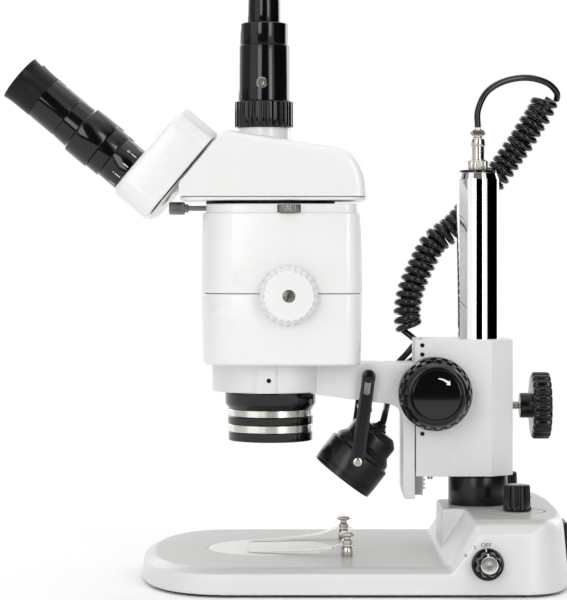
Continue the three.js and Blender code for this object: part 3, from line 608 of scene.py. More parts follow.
def add_piece(name: str, shape: Shape, place: Matrix, finish: "Finish", mount: Mount,
              bevel: float = 0.0, crease: float = 32.0) -> bpy.types.Object:
    """Makes one visible piece and puts it on its body.

    Args:
        name: the piece's name.
        shape: its mesh, in millimetres.
        place: where it goes.
        finish: what it is made of.
        mount: its body and the CAD nodes that it replaces.
        bevel: breaks its sharp edges by this many millimetres.
        crease: edges that turn by more than this many degrees stay sharp.

    Returns:
        The new object.
    """
    mesh = bpy.data.meshes.new(name)
    mesh.from_pydata([tuple(p * MM) for p in shape.points], [], shape.faces)
    outward(mesh)
    mesh.shade_smooth()
    mesh.materials.append(finish.material())
    made = shown(name, mesh)
    made.matrix_world = place
    if bevel:
        edge = made.modifiers.new("edges", "BEVEL")
        edge.width, edge.segments = bevel * MM, 3
        edge.limit_method, edge.angle_limit = "ANGLE", math.radians(crease)
        edge.harden_normals = True
    else:
        mesh.set_sharp_from_angle(angle=math.radians(crease))
    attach(made, mount.body)
    if mount.nodes:
        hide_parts(*mount.nodes)
    LOG.info("%-28s %6d faces on %s", name, len(mesh.polygons), mount.body)
    return made


def lettering(text: str, size: float, thickness: float) -> Shape:
    """Raised text, centred on the origin in X and Y.

    Args:
        text: what it says.
        size: the letters' height in millimetres.
        thickness: how far it stands up.

    Returns:
        The letters as one shape.
    """
    curve = bpy.data.curves.new("letters", "FONT")
    curve.body, curve.size = text, size * FONT_SIZE
    curve.align_x, curve.align_y = "CENTER", "CENTER"
    curve.extrude, curve.resolution_u = thickness / 2, 3
    holder = shown("letters", curve)
    made = Shape.read(holder)
    bpy.data.objects.remove(holder)
    bpy.data.curves.remove(curve)
    return made.moved(z=thickness / 2)


# ---- finishes


class Grain(Enum):
    """How a surface is worked."""

    ENAMEL = "sprayed and stoved, with a faint orange peel"
    POWDER = "fine sandy powder coat"
    MOULDED = "spark-eroded mould texture"
    TURNED = "fine turning lines round the piece's axis"
    BRUSHED = "straight brushing"
    RUBBER = "matt and dusty"
    POLISHED = "polished, with a faint haze"


@dataclass(frozen=True)
class Finish:
    """One surface finish, made as a node material.

    Attributes:
        name: the finish's name.
        tone: its main colour.
        shade: the colour it drifts to in broad patches.
        roughness: its mean roughness.
        grain: how it is worked.
        metallic: 1 for bare metal.
        coat: how much clear lacquer lies on top.
        peel: the depth of its grain, 1 for the usual depth.
        shine: the strength of its plain reflection, 0.5 for the usual one.
        top_shade: the colour of painted shade on the faces that look up, if they get any.
        radial: stretches its highlights round the axis, as on a spun disc.
    """

    name: str
    tone: Triple
    shade: Triple
    roughness: float
    grain: Grain
    metallic: float = 0.0
    coat: float = 0.0
    peel: float = 1.0
    shine: float = 0.5
    top_shade: Triple | None = None
    radial: bool = False

    def material(self) -> bpy.types.Material:
        """Returns the finish's material, made once."""
        return bpy.data.materials.get(self.name) or self._build()

    def _build(self) -> bpy.types.Material:
        """Lays out the nodes of the finish."""
        sheet = NodeSheet.of_material(self.name)
        shader = sheet.shader
        sheet.fill(shader, {"Metallic": self.metallic, "Coat Weight": self.coat,
                            "Coat Roughness": 0.06, "Specular IOR Level": self.shine})
        where = sheet.place()
        broad = sheet.noise(where, 22.0, 2.0)
        colour = sheet.ramp(broad, [(0.32, self.shade), (0.68, self.tone)])
        # Faces that look up get painted shade, where the finish has it.
        if self.top_shade:
            colour = sheet.where_up(colour, self.top_shade)
        sheet.link(colour, shader.inputs["Base Color"])
        height, scale, depth = self._grain(sheet, where)
        patchy = sheet.noise(where, scale, 3.0) if height is None else height
        wear = broad if self.radial or self.grain is Grain.ENAMEL else patchy
        sheet.link(sheet.spread(wear, self.roughness * 0.85, self.roughness * 1.15),
                   shader.inputs["Roughness"])
        if self.radial:
            shader.inputs["Anisotropic"].default_value = 0.6
            tangent = sheet.add("ShaderNodeTangent", direction_type="RADIAL", axis="Z")
            sheet.link(tangent.outputs[0], shader.inputs["Tangent"])
        else:
            sheet.link(sheet.bump(patchy, 0.5, depth * self.peel * MM), shader.inputs["Normal"])
        return sheet.owner

    def _grain(self, sheet: "NodeSheet", where: Socket
               ) -> tuple[Socket | None, float, float]:
        """The grain's height, with its scale and depth in millimetres.

        Args:
            sheet: the material being laid out.
            where: the place on the piece.

        Returns:
            The height socket, or None for plain noise; the noise scale; and the depth.
        """
        if self.grain is Grain.TURNED:
            return sheet.rings(where, 1100.0), 0.0, 0.0025
        if self.grain is Grain.BRUSHED:
            return sheet.streaks(where, (18.0, 900.0, 900.0)), 0.0, 0.006
        table = {
            Grain.ENAMEL: (90.0, 0.012),
            Grain.POWDER: (1100.0, 0.022),
            Grain.MOULDED: (1900.0, 0.009),
            Grain.RUBBER: (1500.0, 0.014),
            Grain.POLISHED: (160.0, 0.002),
        }
        return None, *table[self.grain]


class NodeSheet:
    """The node tree of one material or world, as it is laid out.

    Attributes:
        owner: the material or world.
        shader: its main shader.
    """

    def __init__(self, owner: bpy.types.Material | bpy.types.World, shader: str) -> None:
        """Starts from the shader that is already wired to the owner's output."""
        owner.use_nodes = True
        self.owner = owner
        self._tree = owner.node_tree
        self.shader = self._tree.nodes[shader]

    @classmethod
    def of_material(cls, name: str) -> "NodeSheet":
        """Starts a new material."""
        return cls(bpy.data.materials.new(name), "Principled BSDF")

    def add(self, kind: str, **settings: object) -> bpy.types.Node:
        """Adds a node and sets its options."""
        node = self._tree.nodes.new(kind)
        for key, value in settings.items():
            setattr(node, key, value)
        return node

    def link(self, source: Socket, target: Socket) -> None:
        """Wires one socket to another."""
        self._tree.links.new(source, target)

    def fill(self, node: bpy.types.Node, values: dict[str, object]) -> None:
        """Sets a node's inputs to plain values."""
        for name, value in values.items():
            node.inputs[name].default_value = value

    def place(self, kind: str = "Object") -> Socket:
        """The place on the piece, in metres in its own frame, or the bearing of a ray."""
        return self.add("ShaderNodeTexCoord").outputs[kind]

    def noise(self, where: Socket, scale: float, detail: float
              ) -> Socket:
        """Plain noise at a scale per metre."""
        node = self.add("ShaderNodeTexNoise")
        self.fill(node, {"Scale": scale, "Detail": detail})
        self.link(where, node.inputs["Vector"])
        return node.outputs["Fac"]

    def streaks(self, where: Socket, scales: Triple) -> Socket:
        """Noise drawn out along one axis, by a scale per metre on each axis."""
        stretch = self.add("ShaderNodeMapping")
        self.fill(stretch, {"Scale": scales})
        self.link(where, stretch.inputs["Vector"])
        return self.noise(stretch.outputs[0], 1.0, 3.0)

    def split(self, where: Socket) -> bpy.types.Node:
        """A node that gives a vector's X, Y and Z."""
        node = self.add("ShaderNodeSeparateXYZ")
        self.link(where, node.inputs[0])
        return node

    def length(self, where: Socket) -> Socket:
        """How long a vector is."""
        node = self.add("ShaderNodeVectorMath", operation="LENGTH")
        self.link(where, node.inputs[0])
        return node.outputs["Value"]

    def calc(self, operation: str, *values: Socket | float
             ) -> Socket:
        """Does one piece of arithmetic on sockets and numbers."""
        node = self.add("ShaderNodeMath", operation=operation)
        for value, target in zip(values, node.inputs):
            if isinstance(value, float):
                target.default_value = value
            else:
                self.link(value, target)
        return node.outputs[0]

    def rings(self, where: Socket, scale: float) -> Socket:
        """Noise that changes only with the distance from the axis and along it."""
        split = self.split(where)
        flat = self.add("ShaderNodeCombineXYZ")
        for axis in "XY":
            self.link(split.outputs[axis], flat.inputs[axis])
        along = self.calc("ADD", self.length(flat.outputs[0]), split.outputs["Z"])
        node = self.add("ShaderNodeTexNoise", noise_dimensions="1D")
        self.fill(node, {"Scale": scale, "Detail": 2.0})
        self.link(along, node.inputs["W"])
        return node.outputs["Fac"]

    def ramp(self, value: Socket, stops: Sequence[tuple[float, Triple]]
             ) -> Socket:
        """Turns a value into a colour through stops of (value, colour)."""
        node = self.add("ShaderNodeValToRGB")
        for _ in stops[2:]:
            node.color_ramp.elements.new(0.5)
        for element, (at, colour) in zip(node.color_ramp.elements, stops):
            element.position, element.color = at, (*colour, 1.0)
        self.link(value, node.inputs[0])
        return node.outputs["Color"]

    def share(self, value: Socket, first: float, last: float,
              low: float = 0.0, high: float = 1.0) -> Socket:
        """Maps first to last on to low to high, and holds it beyond both ends."""
        node = self.add("ShaderNodeMapRange")
        self.fill(node, {"From Min": first, "From Max": last, "To Min": low, "To Max": high})
        self.link(value, node.inputs["Value"])
        return node.outputs["Result"]

    def spread(self, value: Socket, low: float, high: float
               ) -> Socket:
        """Stretches the middle of a noise over low to high."""
        return self.share(value, 0.3, 0.7, low, high)

    def mix(self, share: Socket, first: Socket,
            second: Socket | None = None) -> Socket:
        """Mixes one colour towards a second one, or towards white."""
        node = self.add("ShaderNodeMix", data_type="RGBA")
        self.link(share, node.inputs["Factor"])
        self.link(first, node.inputs["A"])
        if second:
            self.link(second, node.inputs["B"])
        else:
            self.fill(node, {"B": WHITE})
        return node.outputs["Result"]

    def where_up(self, colour: Socket, top: Triple) -> Socket:
        """Mixes a colour towards painted shade on the faces that look up, streaked like brushing.
        """
        normal = self.split(self.add("ShaderNodeNewGeometry").outputs["Normal"])
        up = self.share(normal.outputs["Z"], 0.55, 0.95)
        grain = self.streaks(self.place(), (9.0, 260.0, 60.0))
        painted_top_tone = self.ramp(grain, [(0.3, tuple(0.93 * c for c in top)), (0.7, top)])
        return self.mix(up, colour, painted_top_tone)

    def bump(self, height: Socket, strength: float, distance: float
             ) -> Socket:
        """Turns a height into a normal."""
        node = self.add("ShaderNodeBump")
        self.fill(node, {"Strength": strength, "Distance": distance})
        self.link(height, node.inputs["Height"])
        return node.outputs["Normal"]


@dataclass(frozen=True)
class ClearGlass:
    """Clear glass with a faint coating.

    Attributes:
        name: the finish's name.
        tint: the colour it lets through.
        ior: its index of refraction.
    """

    name: str
    tint: Triple
    ior: float = 1.5

    def material(self) -> bpy.types.Material:
        """Returns the glass's material, made once."""
        found = bpy.data.materials.get(self.name)
        if found:
            return found
        sheet = NodeSheet.of_material(self.name)
        shader = sheet.shader
        sheet.fill(shader, {"IOR": self.ior, "Transmission Weight": 1.0})
        smear = sheet.noise(sheet.place(), 60.0, 2.0)
        sheet.link(sheet.ramp(smear, [(0.3, self.tint), (0.7, (0.97, 0.98, 0.99))]),
                   shader.inputs["Base Color"])
        sheet.link(sheet.spread(smear, 0.01, 0.05), shader.inputs["Roughness"])
        return sheet.owner


@dataclass(frozen=True)
class LitPaper:
    """Pale paper, lit evenly where it runs on into the room.

    Attributes:
        name: the finish's name.
        tone: its colour round the object.
        near: how far from the middle the even light starts, in metres.
        far: where it is full.
    """

    name: str
    tone: Triple
    near: float
    far: float

    def material(self) -> bpy.types.Material:
        """Returns the paper's material."""
        sheet = NodeSheet.of_material(self.name)
        shader = sheet.shader
        fade = sheet.share(sheet.length(sheet.place()), self.near, self.far)
        sheet.fill(shader, {"Roughness": 0.9, "Specular IOR Level": 0.1, "Emission Color": WHITE})
        sheet.link(fade, shader.inputs["Emission Strength"])
        sheet.link(sheet.ramp(fade, [(0.0, self.tone), (1.0, (0.0, 0.0, 0.0))]),
                   shader.inputs["Base Color"])
        return sheet.owner


WHITE_ENAMEL = Finish("white_enamel", (0.85, 0.85, 0.842), (0.835, 0.835, 0.828), 0.3,
                      Grain.ENAMEL, coat=0.25)
STAND_ENAMEL = Finish("stand_enamel", (0.77, 0.77, 0.768), (0.75, 0.75, 0.747), 0.42,
                      Grain.POWDER, coat=0.1)
# The base's darker top is painted shade, with brushed streaks in it.
BASE_ENAMEL = Finish("base_enamel", (0.74, 0.74, 0.735), (0.72, 0.72, 0.715), 0.4,
                     Grain.POWDER, coat=0.12, top_shade=(0.50, 0.495, 0.485))
STAGE_WHITE = Finish("stage_plate_white", (0.80, 0.785, 0.77), (0.77, 0.755, 0.74), 0.5,
                     Grain.POWDER, peel=0.5)
BLACK_LACQUER = Finish("black_lacquer", (0.003, 0.003, 0.0035), (0.005, 0.005, 0.006), 0.11,
                       Grain.TURNED, coat=0.2, peel=0.6, shine=0.36)
BLACK_SATIN = Finish("satin_black_paint", (0.003, 0.003, 0.0033), (0.006, 0.006, 0.0065), 0.27,
                     Grain.MOULDED, peel=0.6, shine=0.4)
BLACK_MOULDED = Finish("black_moulded", (0.003, 0.003, 0.0033), (0.006, 0.006, 0.0065), 0.2,
                       Grain.MOULDED, coat=0.1, peel=0.4, shine=0.3)
SOFT_RUBBER = Finish("soft_rubber", (0.004, 0.004, 0.0044), (0.008, 0.008, 0.008), 0.36,
                     Grain.RUBBER, peel=0.6, shine=0.22)
CHROME = Finish("pillar_chrome", (0.86, 0.86, 0.87), (0.83, 0.83, 0.84), 0.05, Grain.POLISHED,
                metallic=1.0)
NICKEL = Finish("turned_nickel", (0.66, 0.62, 0.56), (0.58, 0.545, 0.49), 0.24, Grain.TURNED,
                metallic=1.0)
BARE_STEEL = Finish("bare_steel", (0.70, 0.69, 0.67), (0.62, 0.61, 0.59), 0.28, Grain.BRUSHED,
                    metallic=1.0)
DARK_STEEL = Finish("blued_steel", (0.30, 0.29, 0.27), (0.22, 0.215, 0.2), 0.3, Grain.TURNED,
                    metallic=1.0)
SPUN_ALUMINIUM = Finish("spun_aluminium", (0.86, 0.84, 0.79), (0.80, 0.78, 0.73), 0.24,
                        Grain.TURNED, metallic=1.0, radial=True)
BRIGHT_BAND = Finish("bright_band", (0.90, 0.875, 0.82), (0.84, 0.815, 0.76), 0.2, Grain.TURNED,
                     metallic=1.0)
CORD_SHEATH = Finish("cord_sheath", (0.003, 0.003, 0.0035), (0.005, 0.005, 0.006), 0.14,
                     Grain.ENAMEL, coat=0.2, peel=0.4, shine=0.36)
WHITE_INK = Finish("white_ink", (0.85, 0.85, 0.84), (0.78, 0.78, 0.77), 0.5, Grain.POWDER,
                   peel=0.3)
BLACK_INK = Finish("black_ink", (0.03, 0.03, 0.033), (0.045, 0.045, 0.05), 0.5, Grain.POWDER,
                   peel=0.3)
# Near-black finish that stands in for the shade in gaps between parts: painted shade.
PAINTED_GAP_SHADE = Finish("dark_recess", (0.006, 0.006, 0.006), (0.009, 0.009, 0.009), 0.7, Grain.RUBBER)
LENS_GLASS = ClearGlass("lens_glass", (0.86, 0.93, 0.95), 1.6)
LAMP_GLASS = ClearGlass("lamp_glass", (0.95, 0.96, 0.96))
FLOOR_PAPER = LitPaper("floor_paper", (0.92, 0.92, 0.92), 0.4, 1.15)


# ---- studio


@dataclass(frozen=True)
class SoftBox:
    """One soft light, in metres and watts of the row frame.

    Attributes:
        place: where it hangs.
        target: the point it faces.
        width: its width.
        height: its height.
        power: how bright it is.
    """

    place: Triple
    target: Triple
    width: float
    height: float
    power: float


@dataclass
class Studio:
    """Floor, soft lights and the camera.

    Attributes:
        eye: the camera's place in the row frame, in metres.
        lens: its focal length in millimetres, over a sensor whose long side is sensor.
        sensor: the sensor's long side in millimetres.
        drop: how far the view is shifted down, as a share of the long side.
        floor: half the floor's width in metres.
        panels: the lights.
        screens: the brightness of the room at each bearing, in degrees to the right of the
            observer of the near side; the dark ones are black screens.
    """

    eye: Triple = (-0.0040, -1.7919, 0.2547)
    lens: float = 94.5
    sensor: float = 24.0
    drop: float = -0.1
    floor: float = 1.3
    panels: tuple[SoftBox, ...] = (
        SoftBox((-0.8, -2.2, 0.9), (0.0, 0.0, 0.22), 0.7, 1.6, 14.0),
        SoftBox((1.2, -2.0, 0.8), (0.0, 0.0, 0.2), 0.5, 1.6, 11.0),
        SoftBox((0.1, 0.2, 2.2), (0.0, 0.0, 0.2), 1.8, 1.8, 5.0),
        SoftBox((-0.9, 1.9, 1.1), (0.0, 0.0, 0.2), 1.2, 1.2, 8.0),
        SoftBox((1.3, 1.6, 0.8), (0.0, 0.0, 0.2), 0.8, 1.4, 8.0))
    screens: tuple[Pair, ...] = (
        (-180, 1.0), (-122, 1.0), (-110, 0.35), (-70, 0.35), (-62, 1.1), (-34, 1.1),
        (-29, 0.0), (19, 0.0), (23, 1.1), (46, 1.1), (50, 0.0), (122, 0.0), (130, 1.0))

    def build(self) -> None:
        """Makes the camera, the lights, the surroundings and the floor."""
        self._camera()
        for number, panel in enumerate(self.panels, 1):
            self._panel(number, panel)
        self._surroundings()
        self._floor()
        LOG.info("studio with %d lights", len(self.panels))

    def _camera(self) -> None:
        """Sets the camera level, at the height of the zoom body."""
        data = bpy.data.cameras.new("camera")
        data.lens, data.sensor_width, data.shift_y = self.lens, self.sensor, self.drop
        data.clip_start, data.clip_end = 0.05, 60.0
        made = shown("camera", data)
        made.location = self.eye
        made.rotation_euler = (math.pi / 2, 0, 0)
        bpy.context.scene.camera = made

    def _panel(self, number: int, box: SoftBox) -> None:
        """Hangs one soft box, aimed at its target."""
        data = bpy.data.lights.new(f"softbox_{number}", "AREA")
        data.shape, data.size, data.size_y = "RECTANGLE", box.width, box.height
        data.energy = box.power
        made = shown(f"softbox_{number}", data)
        made.location = box.place
        aim = Vector(box.target) - Vector(box.place)
        made.rotation_euler = aim.to_track_quat("-Z", "Y").to_euler()

    def _surroundings(self) -> None:
        """Lights the room evenly, with dark screens between the soft boxes.

        The room turns white overhead, and it is plain white where the camera sees it.
        """
        world = bpy.data.worlds.new("room")
        sheet = NodeSheet(world, "Background")
        ray = sheet.split(sheet.place("Generated")).outputs
        bearing = sheet.calc("ARCTAN2", ray["X"], sheet.calc("MULTIPLY", ray["Y"], -1.0))
        stops = [(0.5 + at / 360, (grey, grey, grey)) for at, grey in self.screens]
        walls = sheet.ramp(sheet.share(bearing, -math.pi, math.pi), stops)
        seen = sheet.add("ShaderNodeLightPath").outputs["Is Camera Ray"]
        white = sheet.calc("MAXIMUM", sheet.share(ray["Z"], 0.55, 0.8), seen)
        sheet.link(sheet.mix(white, walls), sheet.shader.inputs["Color"])
        sheet.fill(sheet.shader, {"Strength": 1.0})
        bpy.context.scene.world = world
        bpy.context.scene.view_settings.view_transform = "Standard"

    def _floor(self) -> None:
        """Lays a plain pale floor under everything."""
        rim = [(self.floor * x, self.floor * y) for x, y in ((-1, -1), (1, -1), (1, 1), (-1, 1))]
        mesh = bpy.data.meshes.new("floor")
        mesh.from_pydata([(x, y, 0.0) for x, y in rim], [], [(0, 1, 2, 3)])
        mesh.materials.append(FLOOR_PAPER.material())
        shown("floor", mesh)


# ---- cord


@dataclass
class CurlyCord:
    """The lamp's lead: up from the plug, down a curly stretch, and round the arm to the lamp.

    Attributes:
        radius: half the cord's thickness.
        coil: from the coil's middle to the cord's.
        pitch: the rise of each turn.
        crown: the lead from the plug over to the coil.
        spine: the middle line of the coil.
        drop: the lead from the coil down to the arm.
        bridge: the lead along the arm.
        tail: the lead from the fork to the lamp.
    """

    radius: float = 2.5
    coil: float = 8.4
    pitch: float = 6.1
    crown: tuple[Triple, ...] = (
        (158, 0, 340.3), (158.2, 0.4, 353.8), (165, 2.5, 367.5), (178.7, 6, 376),
        (196.2, 10, 379), (212, 15, 375.6), (220.4, 20.2, 368.4), (220.9, 25, 362.9))
    spine: tuple[Triple, ...] = (
        (212.5, 25, 363.5), (207.5, 26, 352.5), (200.5, 27, 342), (194, 28, 331),
        (187, 29.5, 321.5), (179.5, 30.5, 310.5), (174, 31, 303.5), (158.8, 31.5, 284.8),
        (143, 31, 266), (127, 30.5, 253.5), (120, 30.5, 242), (114.8, 30.5, 231.2),
        (110, 30.5, 220.4), (107, 30.5, 209.6), (105.6, 30.5, 196.6), (107.4, 30.5, 186.2))
    drop: tuple[Triple, ...] = ((112.4, 34, 176.5), (109.4, 34, 171.2), (105.5, 33.4, 166.5))
    bridge: tuple[Triple, ...] = ((105.5, 33.4, 166.5), (98.2, 31.6, 158.5), (93.4, 31, 149),
                                  (91.2, 31, 138))
    tail: tuple[Triple, ...] = ((91.2, 31, 138), (90.6, 28.6, 132.2), (89.6, 23, 127.6),
                                (88.6, 16, 124.6), (87.7, 9, 122.2), (86.9, 4, 119.6),
                                (86.0, 1, 116.8), (85.3, 0, 114.7))

    def build(self) -> None:
        """Makes the four stretches."""
        crown = smooth_path([Vector(p) for p in self.crown], 8)
        coiled = self._helix()
        below = smooth_path([coiled[-1], *[Vector(p) for p in self.drop]], 8)[1:]
        self._stretch("lamp_cord_crown", crown, ("stop_collar", "focus_block"),
                      "cord_upper_lead")
        self._stretch("lamp_cord_coil", coiled + below, ("focus_block", "carriage"),
                      "cord_coil")
        bridge = smooth_path([Vector(p) for p in self.bridge], 8)
        self._stretch("lamp_cord_bridge", bridge, ("carriage", "lamp_fork"),
                      "cord_lower_lead")
        tail = smooth_path([Vector(p) for p in self.tail], 8)
        self._stretch("lamp_cord_tail", tail, ("lamp_fork", "lamp"), "")

    def _helix(self) -> list[Vector]:
        """The curly stretch as a line, with its turns evenly spaced along the spine."""
        spine = smooth_path([Vector(p) for p in self.spine], 40)
        frames = frames_along(spine)
        line: list[Vector] = []
        walked, turn_steps = 0.0, 18
        step, due = self.pitch / turn_steps, 0.0
        for i in range(len(spine) - 1):
            span = (spine[i + 1] - spine[i]).length
            while due <= walked + span:
                t = (due - walked) / span
                centre = spine[i].lerp(spine[i + 1], t)
                u = frames[i][0].lerp(frames[i + 1][0], t)
                v = frames[i][1].lerp(frames[i + 1][1], t)
                angle = math.tau * due / self.pitch
                line.append(centre + (u * math.cos(angle) + v * math.sin(angle)) * self.coil)
                due += step
            walked += span
        return line

    def _stretch(self, name: str, line: list[Vector], bodies: tuple[str, str], node: str) -> None:
        """Makes one stretch of cord along its line, between two bodies but held by neither.

        Args:
            name: the piece's name.
            line: its centre line.
            bodies: the bodies it goes between.
            node: the CAD node it stands for, if any.
        """
        made = add_piece(name, tube(line, self.radius, 14), HOME, CORD_SHEATH,
                         Mount(bodies[0], "cord", (node,) if node else ()), crease=60)
        made.parent = None
        del made["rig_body"]
        made.matrix_world = HOME
        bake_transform(made)


# ---- base


@dataclass
class Base:
    """The cast base: plate, housing, nose, stage plate, feet, inlet and its small fittings.

    Attributes:
        front: the plate's foremost X.
        rear: the back wall's X.
        half: half the width.
        bottom: the casting's lower face.
        plate_top: the plate's top.
        housing_top: the housing's top.
        stage_radius: the stage plate's radius.
        knobs: (X, Y) of the brightness knobs.
        feet: (X, Y) of the feet.
    """

    front: float = -97.0
    rear: float = 222.0
    half: float = 122.0
    bottom: float = 2.0
    plate_top: float = PLATE_TOP
    housing_top: float = 54.0
    stage_radius: float = 47.5
    knobs: Pair = BRIGHTNESS_KNOBS
    feet: tuple[Pair, ...] = ((-58, -74), (-58, 74), (192, -92), (192, 92))

    def build(self) -> None:
        """Makes every piece of the base."""
        mount = Mount("base", "white_satin", ("base_casting",))
        skin = add_piece("base_casting_skin", self._casting(), HOME, BASE_ENAMEL, mount,
                         crease=38)
        self._stage_plate()
        self._feet()
        self._inlet()
        self._labels(skin)
        dress("base_cover", BLACK_SATIN)

    def _plan(self) -> Outline:
        """Plan of the base: a broad curved front and rounded rear corners."""
        half, rear, front = self.half, self.rear, self.front
        right = bezier([(front, 0), (front, -88), (-68, -half), (-28, -half)], 30)
        corner = bezier([(rear - 40, -half), (rear - 5, -half), (rear - 2, -68), (rear, -30)], 20)
        lower = [*right, (rear - 40, -half), *corner]
        return mirrored(lower)[:-1] + [(front, 0.0)]

    def _casting(self) -> Shape:
        """The casting, rounded all over, with its recesses cut afterwards."""
        plan = self._plan()
        plate = loft([(self.bottom, plan), (16.5, inset(plan, 1.3)),
                      (self.plate_top, inset(plan, 9.5))])
        body = plate.joined(self._housing(plan), self._nose()).softened(1.25, 7)
        under = inset(plan, 6)
        body = body.cut(loft([(0, under), (4.1, under)]))
        low = self.plate_top - 3.9
        tools = [rod(self.stage_radius + 0.55, low, self.plate_top + 4, 128),
                 block((204, 230), (-14.2, 14.2), (6.2, 39.8))]
        for side in Side:
            x, y = self.knobs[0], side.value * self.knobs[1]
            top = self.housing_top
            groove = [(19.3, top - 1.4), (21.3, top - 1.4), (21.3, top + 2), (19.3, top + 2)]
            tools.append(lathe(groove, 96, ring=True).moved(x, y))
        return body.cut(*tools)

    def _housing(self, plan: Outline) -> Shape:
        """The raised rear part: a slope up to a flat top, bevelled along both sides."""
        def profile(foot: float, low: float, head: float, high: float) -> Outline:
            """Side view of the housing at one distance from the middle."""
            return [(118, 3), (230, 3), (230, high), (head, high), (foot, low)]

        edge = profile(129, 16.5, 150.5, 44.5)
        shoulder = profile(127, 19.1, 148, 51.4)
        middle = profile(126, 20.7, 147, 54)
        levels = [(-126, edge), (-118, edge), (-111, shoulder), (-103, middle), (103, middle),
                  (111, shoulder), (118, edge), (126, edge)]
        across = upright(loft(levels))
        outline = loft([(3, plan), (44.5, inset(plan, 3.7)), (51, inset(plan, 5.5)),
                        (self.housing_top, inset(plan, 9))])
        return across.common(outline)

    def _nose(self) -> Shape:
        """The block that carries the pillar ahead of the slope."""
        def plan(edge: float) -> Outline:
            """The nose's plan, smaller by edge."""
            front, back, half = 128 + edge, 156, 33 - edge
            return [(front, -half), (back, -half), (back, half), (front, half)]

        return loft([(17, plan(0)), (52.6, plan(0.3)), (53.9, plan(1.4))])

    def _stage_plate(self) -> None:
        """The round white plate, let in flush."""
        top, radius = self.plate_top, self.stage_radius
        profile = [(0, top - 3.6), (radius, top - 3.6), (radius, top - 0.5),
                   (radius - 0.15, top - 0.15), (radius - 0.5, top), (0, top)]
        add_piece("stage_plate_disc", lathe(profile, 160), HOME, STAGE_WHITE,
                  Mount("base", "stage_white", ("stage_plate",)))

    def _feet(self) -> None:
        """Four round rubber feet with a moulded rim."""
        profile = [(0, 0.4), (5.6, 0.4), (6, 0), (8, 0), (8.6, 0.25), (9, 0.9), (9, 2), (0, 2)]
        for number, (x, y) in enumerate(self.feet, 1):
            add_piece(f"foot_pad_{number}", lathe(profile, 48), spot(x, y, 0), SOFT_RUBBER,
                      Mount("base", "rubber", (f"foot_{number}",)))

    def _inlet(self) -> None:
        """The mains inlet: flange, socket with three pins, and a fuse drawer above."""
        wall = self.rear
        rim = slab([(-15.5, 5.6), (-14.9, 5), (14.9, 5), (15.5, 5.6), (15.5, 40.4), (14.9, 41),
                    (-14.9, 41), (-15.5, 40.4)], 0, 2.7, 0.6)
        nose = slab([(-13.8, 8), (-12.4, 6.6), (12.4, 6.6), (13.8, 8), (13.8, 38), (12.4, 39.4),
                     (-12.4, 39.4), (-13.8, 38)], -16, 4.2, 1.0)
        shell = rim.joined(nose)
        shell = shell.cut(block((-11.5, 11.5), (8.6, 23.4), (-13, 8)),
                          block((-11, 11), (25.2, 26.0), (3.2, 8)),
                          block((-4, 4), (36.4, 37.2), (3.4, 8)))
        pins = [block((x - 1, x + 1), (z - 2, z + 2), (-13.5, 2.0))
                for x, z in ((-7, 17), (0, 20), (7, 17))]
        place = spot(wall + 0.3, 0, 0) @ Matrix(((0, 0, 1, 0), (1, 0, 0, 0), (0, 1, 0, 0),
                                                 (0, 0, 0, 1)))
        add_piece("power_inlet_shell", shell, place, BLACK_SATIN,
                  Mount("base", "black_satin", ("power_inlet",)), bevel=0.25)
        add_piece("power_inlet_pins", pins[0].plus(*pins[1:]), place, NICKEL,
                  Mount("base", "steel"), bevel=0.3)

    def _labels(self, skin: bpy.types.Object) -> None:
        """Prints the mode switch's three marks on the casting, round the knob.

        Args:
            skin: the casting.
        """
        for name, text, angle, reach in (("label_off", "OFF", 4, 12.4),
                                         ("label_low", "I", 39, 14.0),
                                         ("label_high", "II", 71, 15.6)):
            turn = math.radians(angle)
            x, z = SWITCH_X - reach * math.sin(turn), LABELS_Z + reach * math.cos(turn)
            _, point, normal, _ = skin.ray_cast(Vector((x, -200, z)) * MM, Vector((0, 1, 0)))
            letters = lettering(text, 3.0, 0.2).moved(z=-0.08).turned("Z", angle // 20 * 20)
            lean = 90 - math.degrees(math.asin(normal.z))
            place = spot(x, point.y / MM, z, tilt_x=lean)
            add_piece(name, letters, place, BLACK_INK, Mount("base", "black_satin"))


@dataclass
class ModeSwitch:
    """The rotary switch on the right-hand wall.

    Attributes:
        skirt: the skirt's radius.
        grip: the grip's radius.
        cap: the metal cap's radius.
    """

    skirt: float = 11.5
    grip: float = 9.6
    cap: float = 6.2

    def build(self) -> None:
        """Makes the skirt and grip, the cap and the white pointer."""
        place = spot(SWITCH_X, -120.2, 24, tilt_x=85)
        r = self.grip
        profile = [(0, 0.5), (self.skirt - 0.4, 0.5), (self.skirt, 0.9), (self.skirt, 2.6),
                   (self.skirt - 0.5, 3.3), (self.skirt - 1.4, 3.6), (0, 3.6)]
        grip = fluted([(3.2, r + 0.5, 0.9), (4.4, r, 1.3), (13.8, r - 1.2, 1.3),
                       (14.9, r - 1.6, 1.2), (15.4, r - 2.4, 1.0)], 8, 1.6)
        add_piece("mode_switch_grip", lathe(profile).joined(grip), place, BLACK_MOULDED,
                  Mount("mode_switch", "black_gloss", ("mode_knob",)))
        dish = [(0, 15.2), (self.cap, 15.2), (self.cap, 17.0), (self.cap - 0.3, 17.4),
                (self.cap - 0.9, 17.5), (1.0, 17.25), (0, 17.2)]
        add_piece("mode_switch_cap", lathe(dish), place, SPUN_ALUMINIUM,
                  Mount("mode_switch", "steel"))
        line = [(-0.45, 5.9), (0.45, 5.9), (0.45, 11.3), (-0.45, 11.3)]
        rise = slab(line, 3.2, 3.85).turned("Z", 7)
        bar = block((-0.45, 0.45), (5.9, r - 1.6), (13, 15.65)).turned("Z", 7)
        add_piece("mode_switch_pointer", rise.plus(bar), place, WHITE_INK,
                  Mount("mode_switch", "white_gloss"))


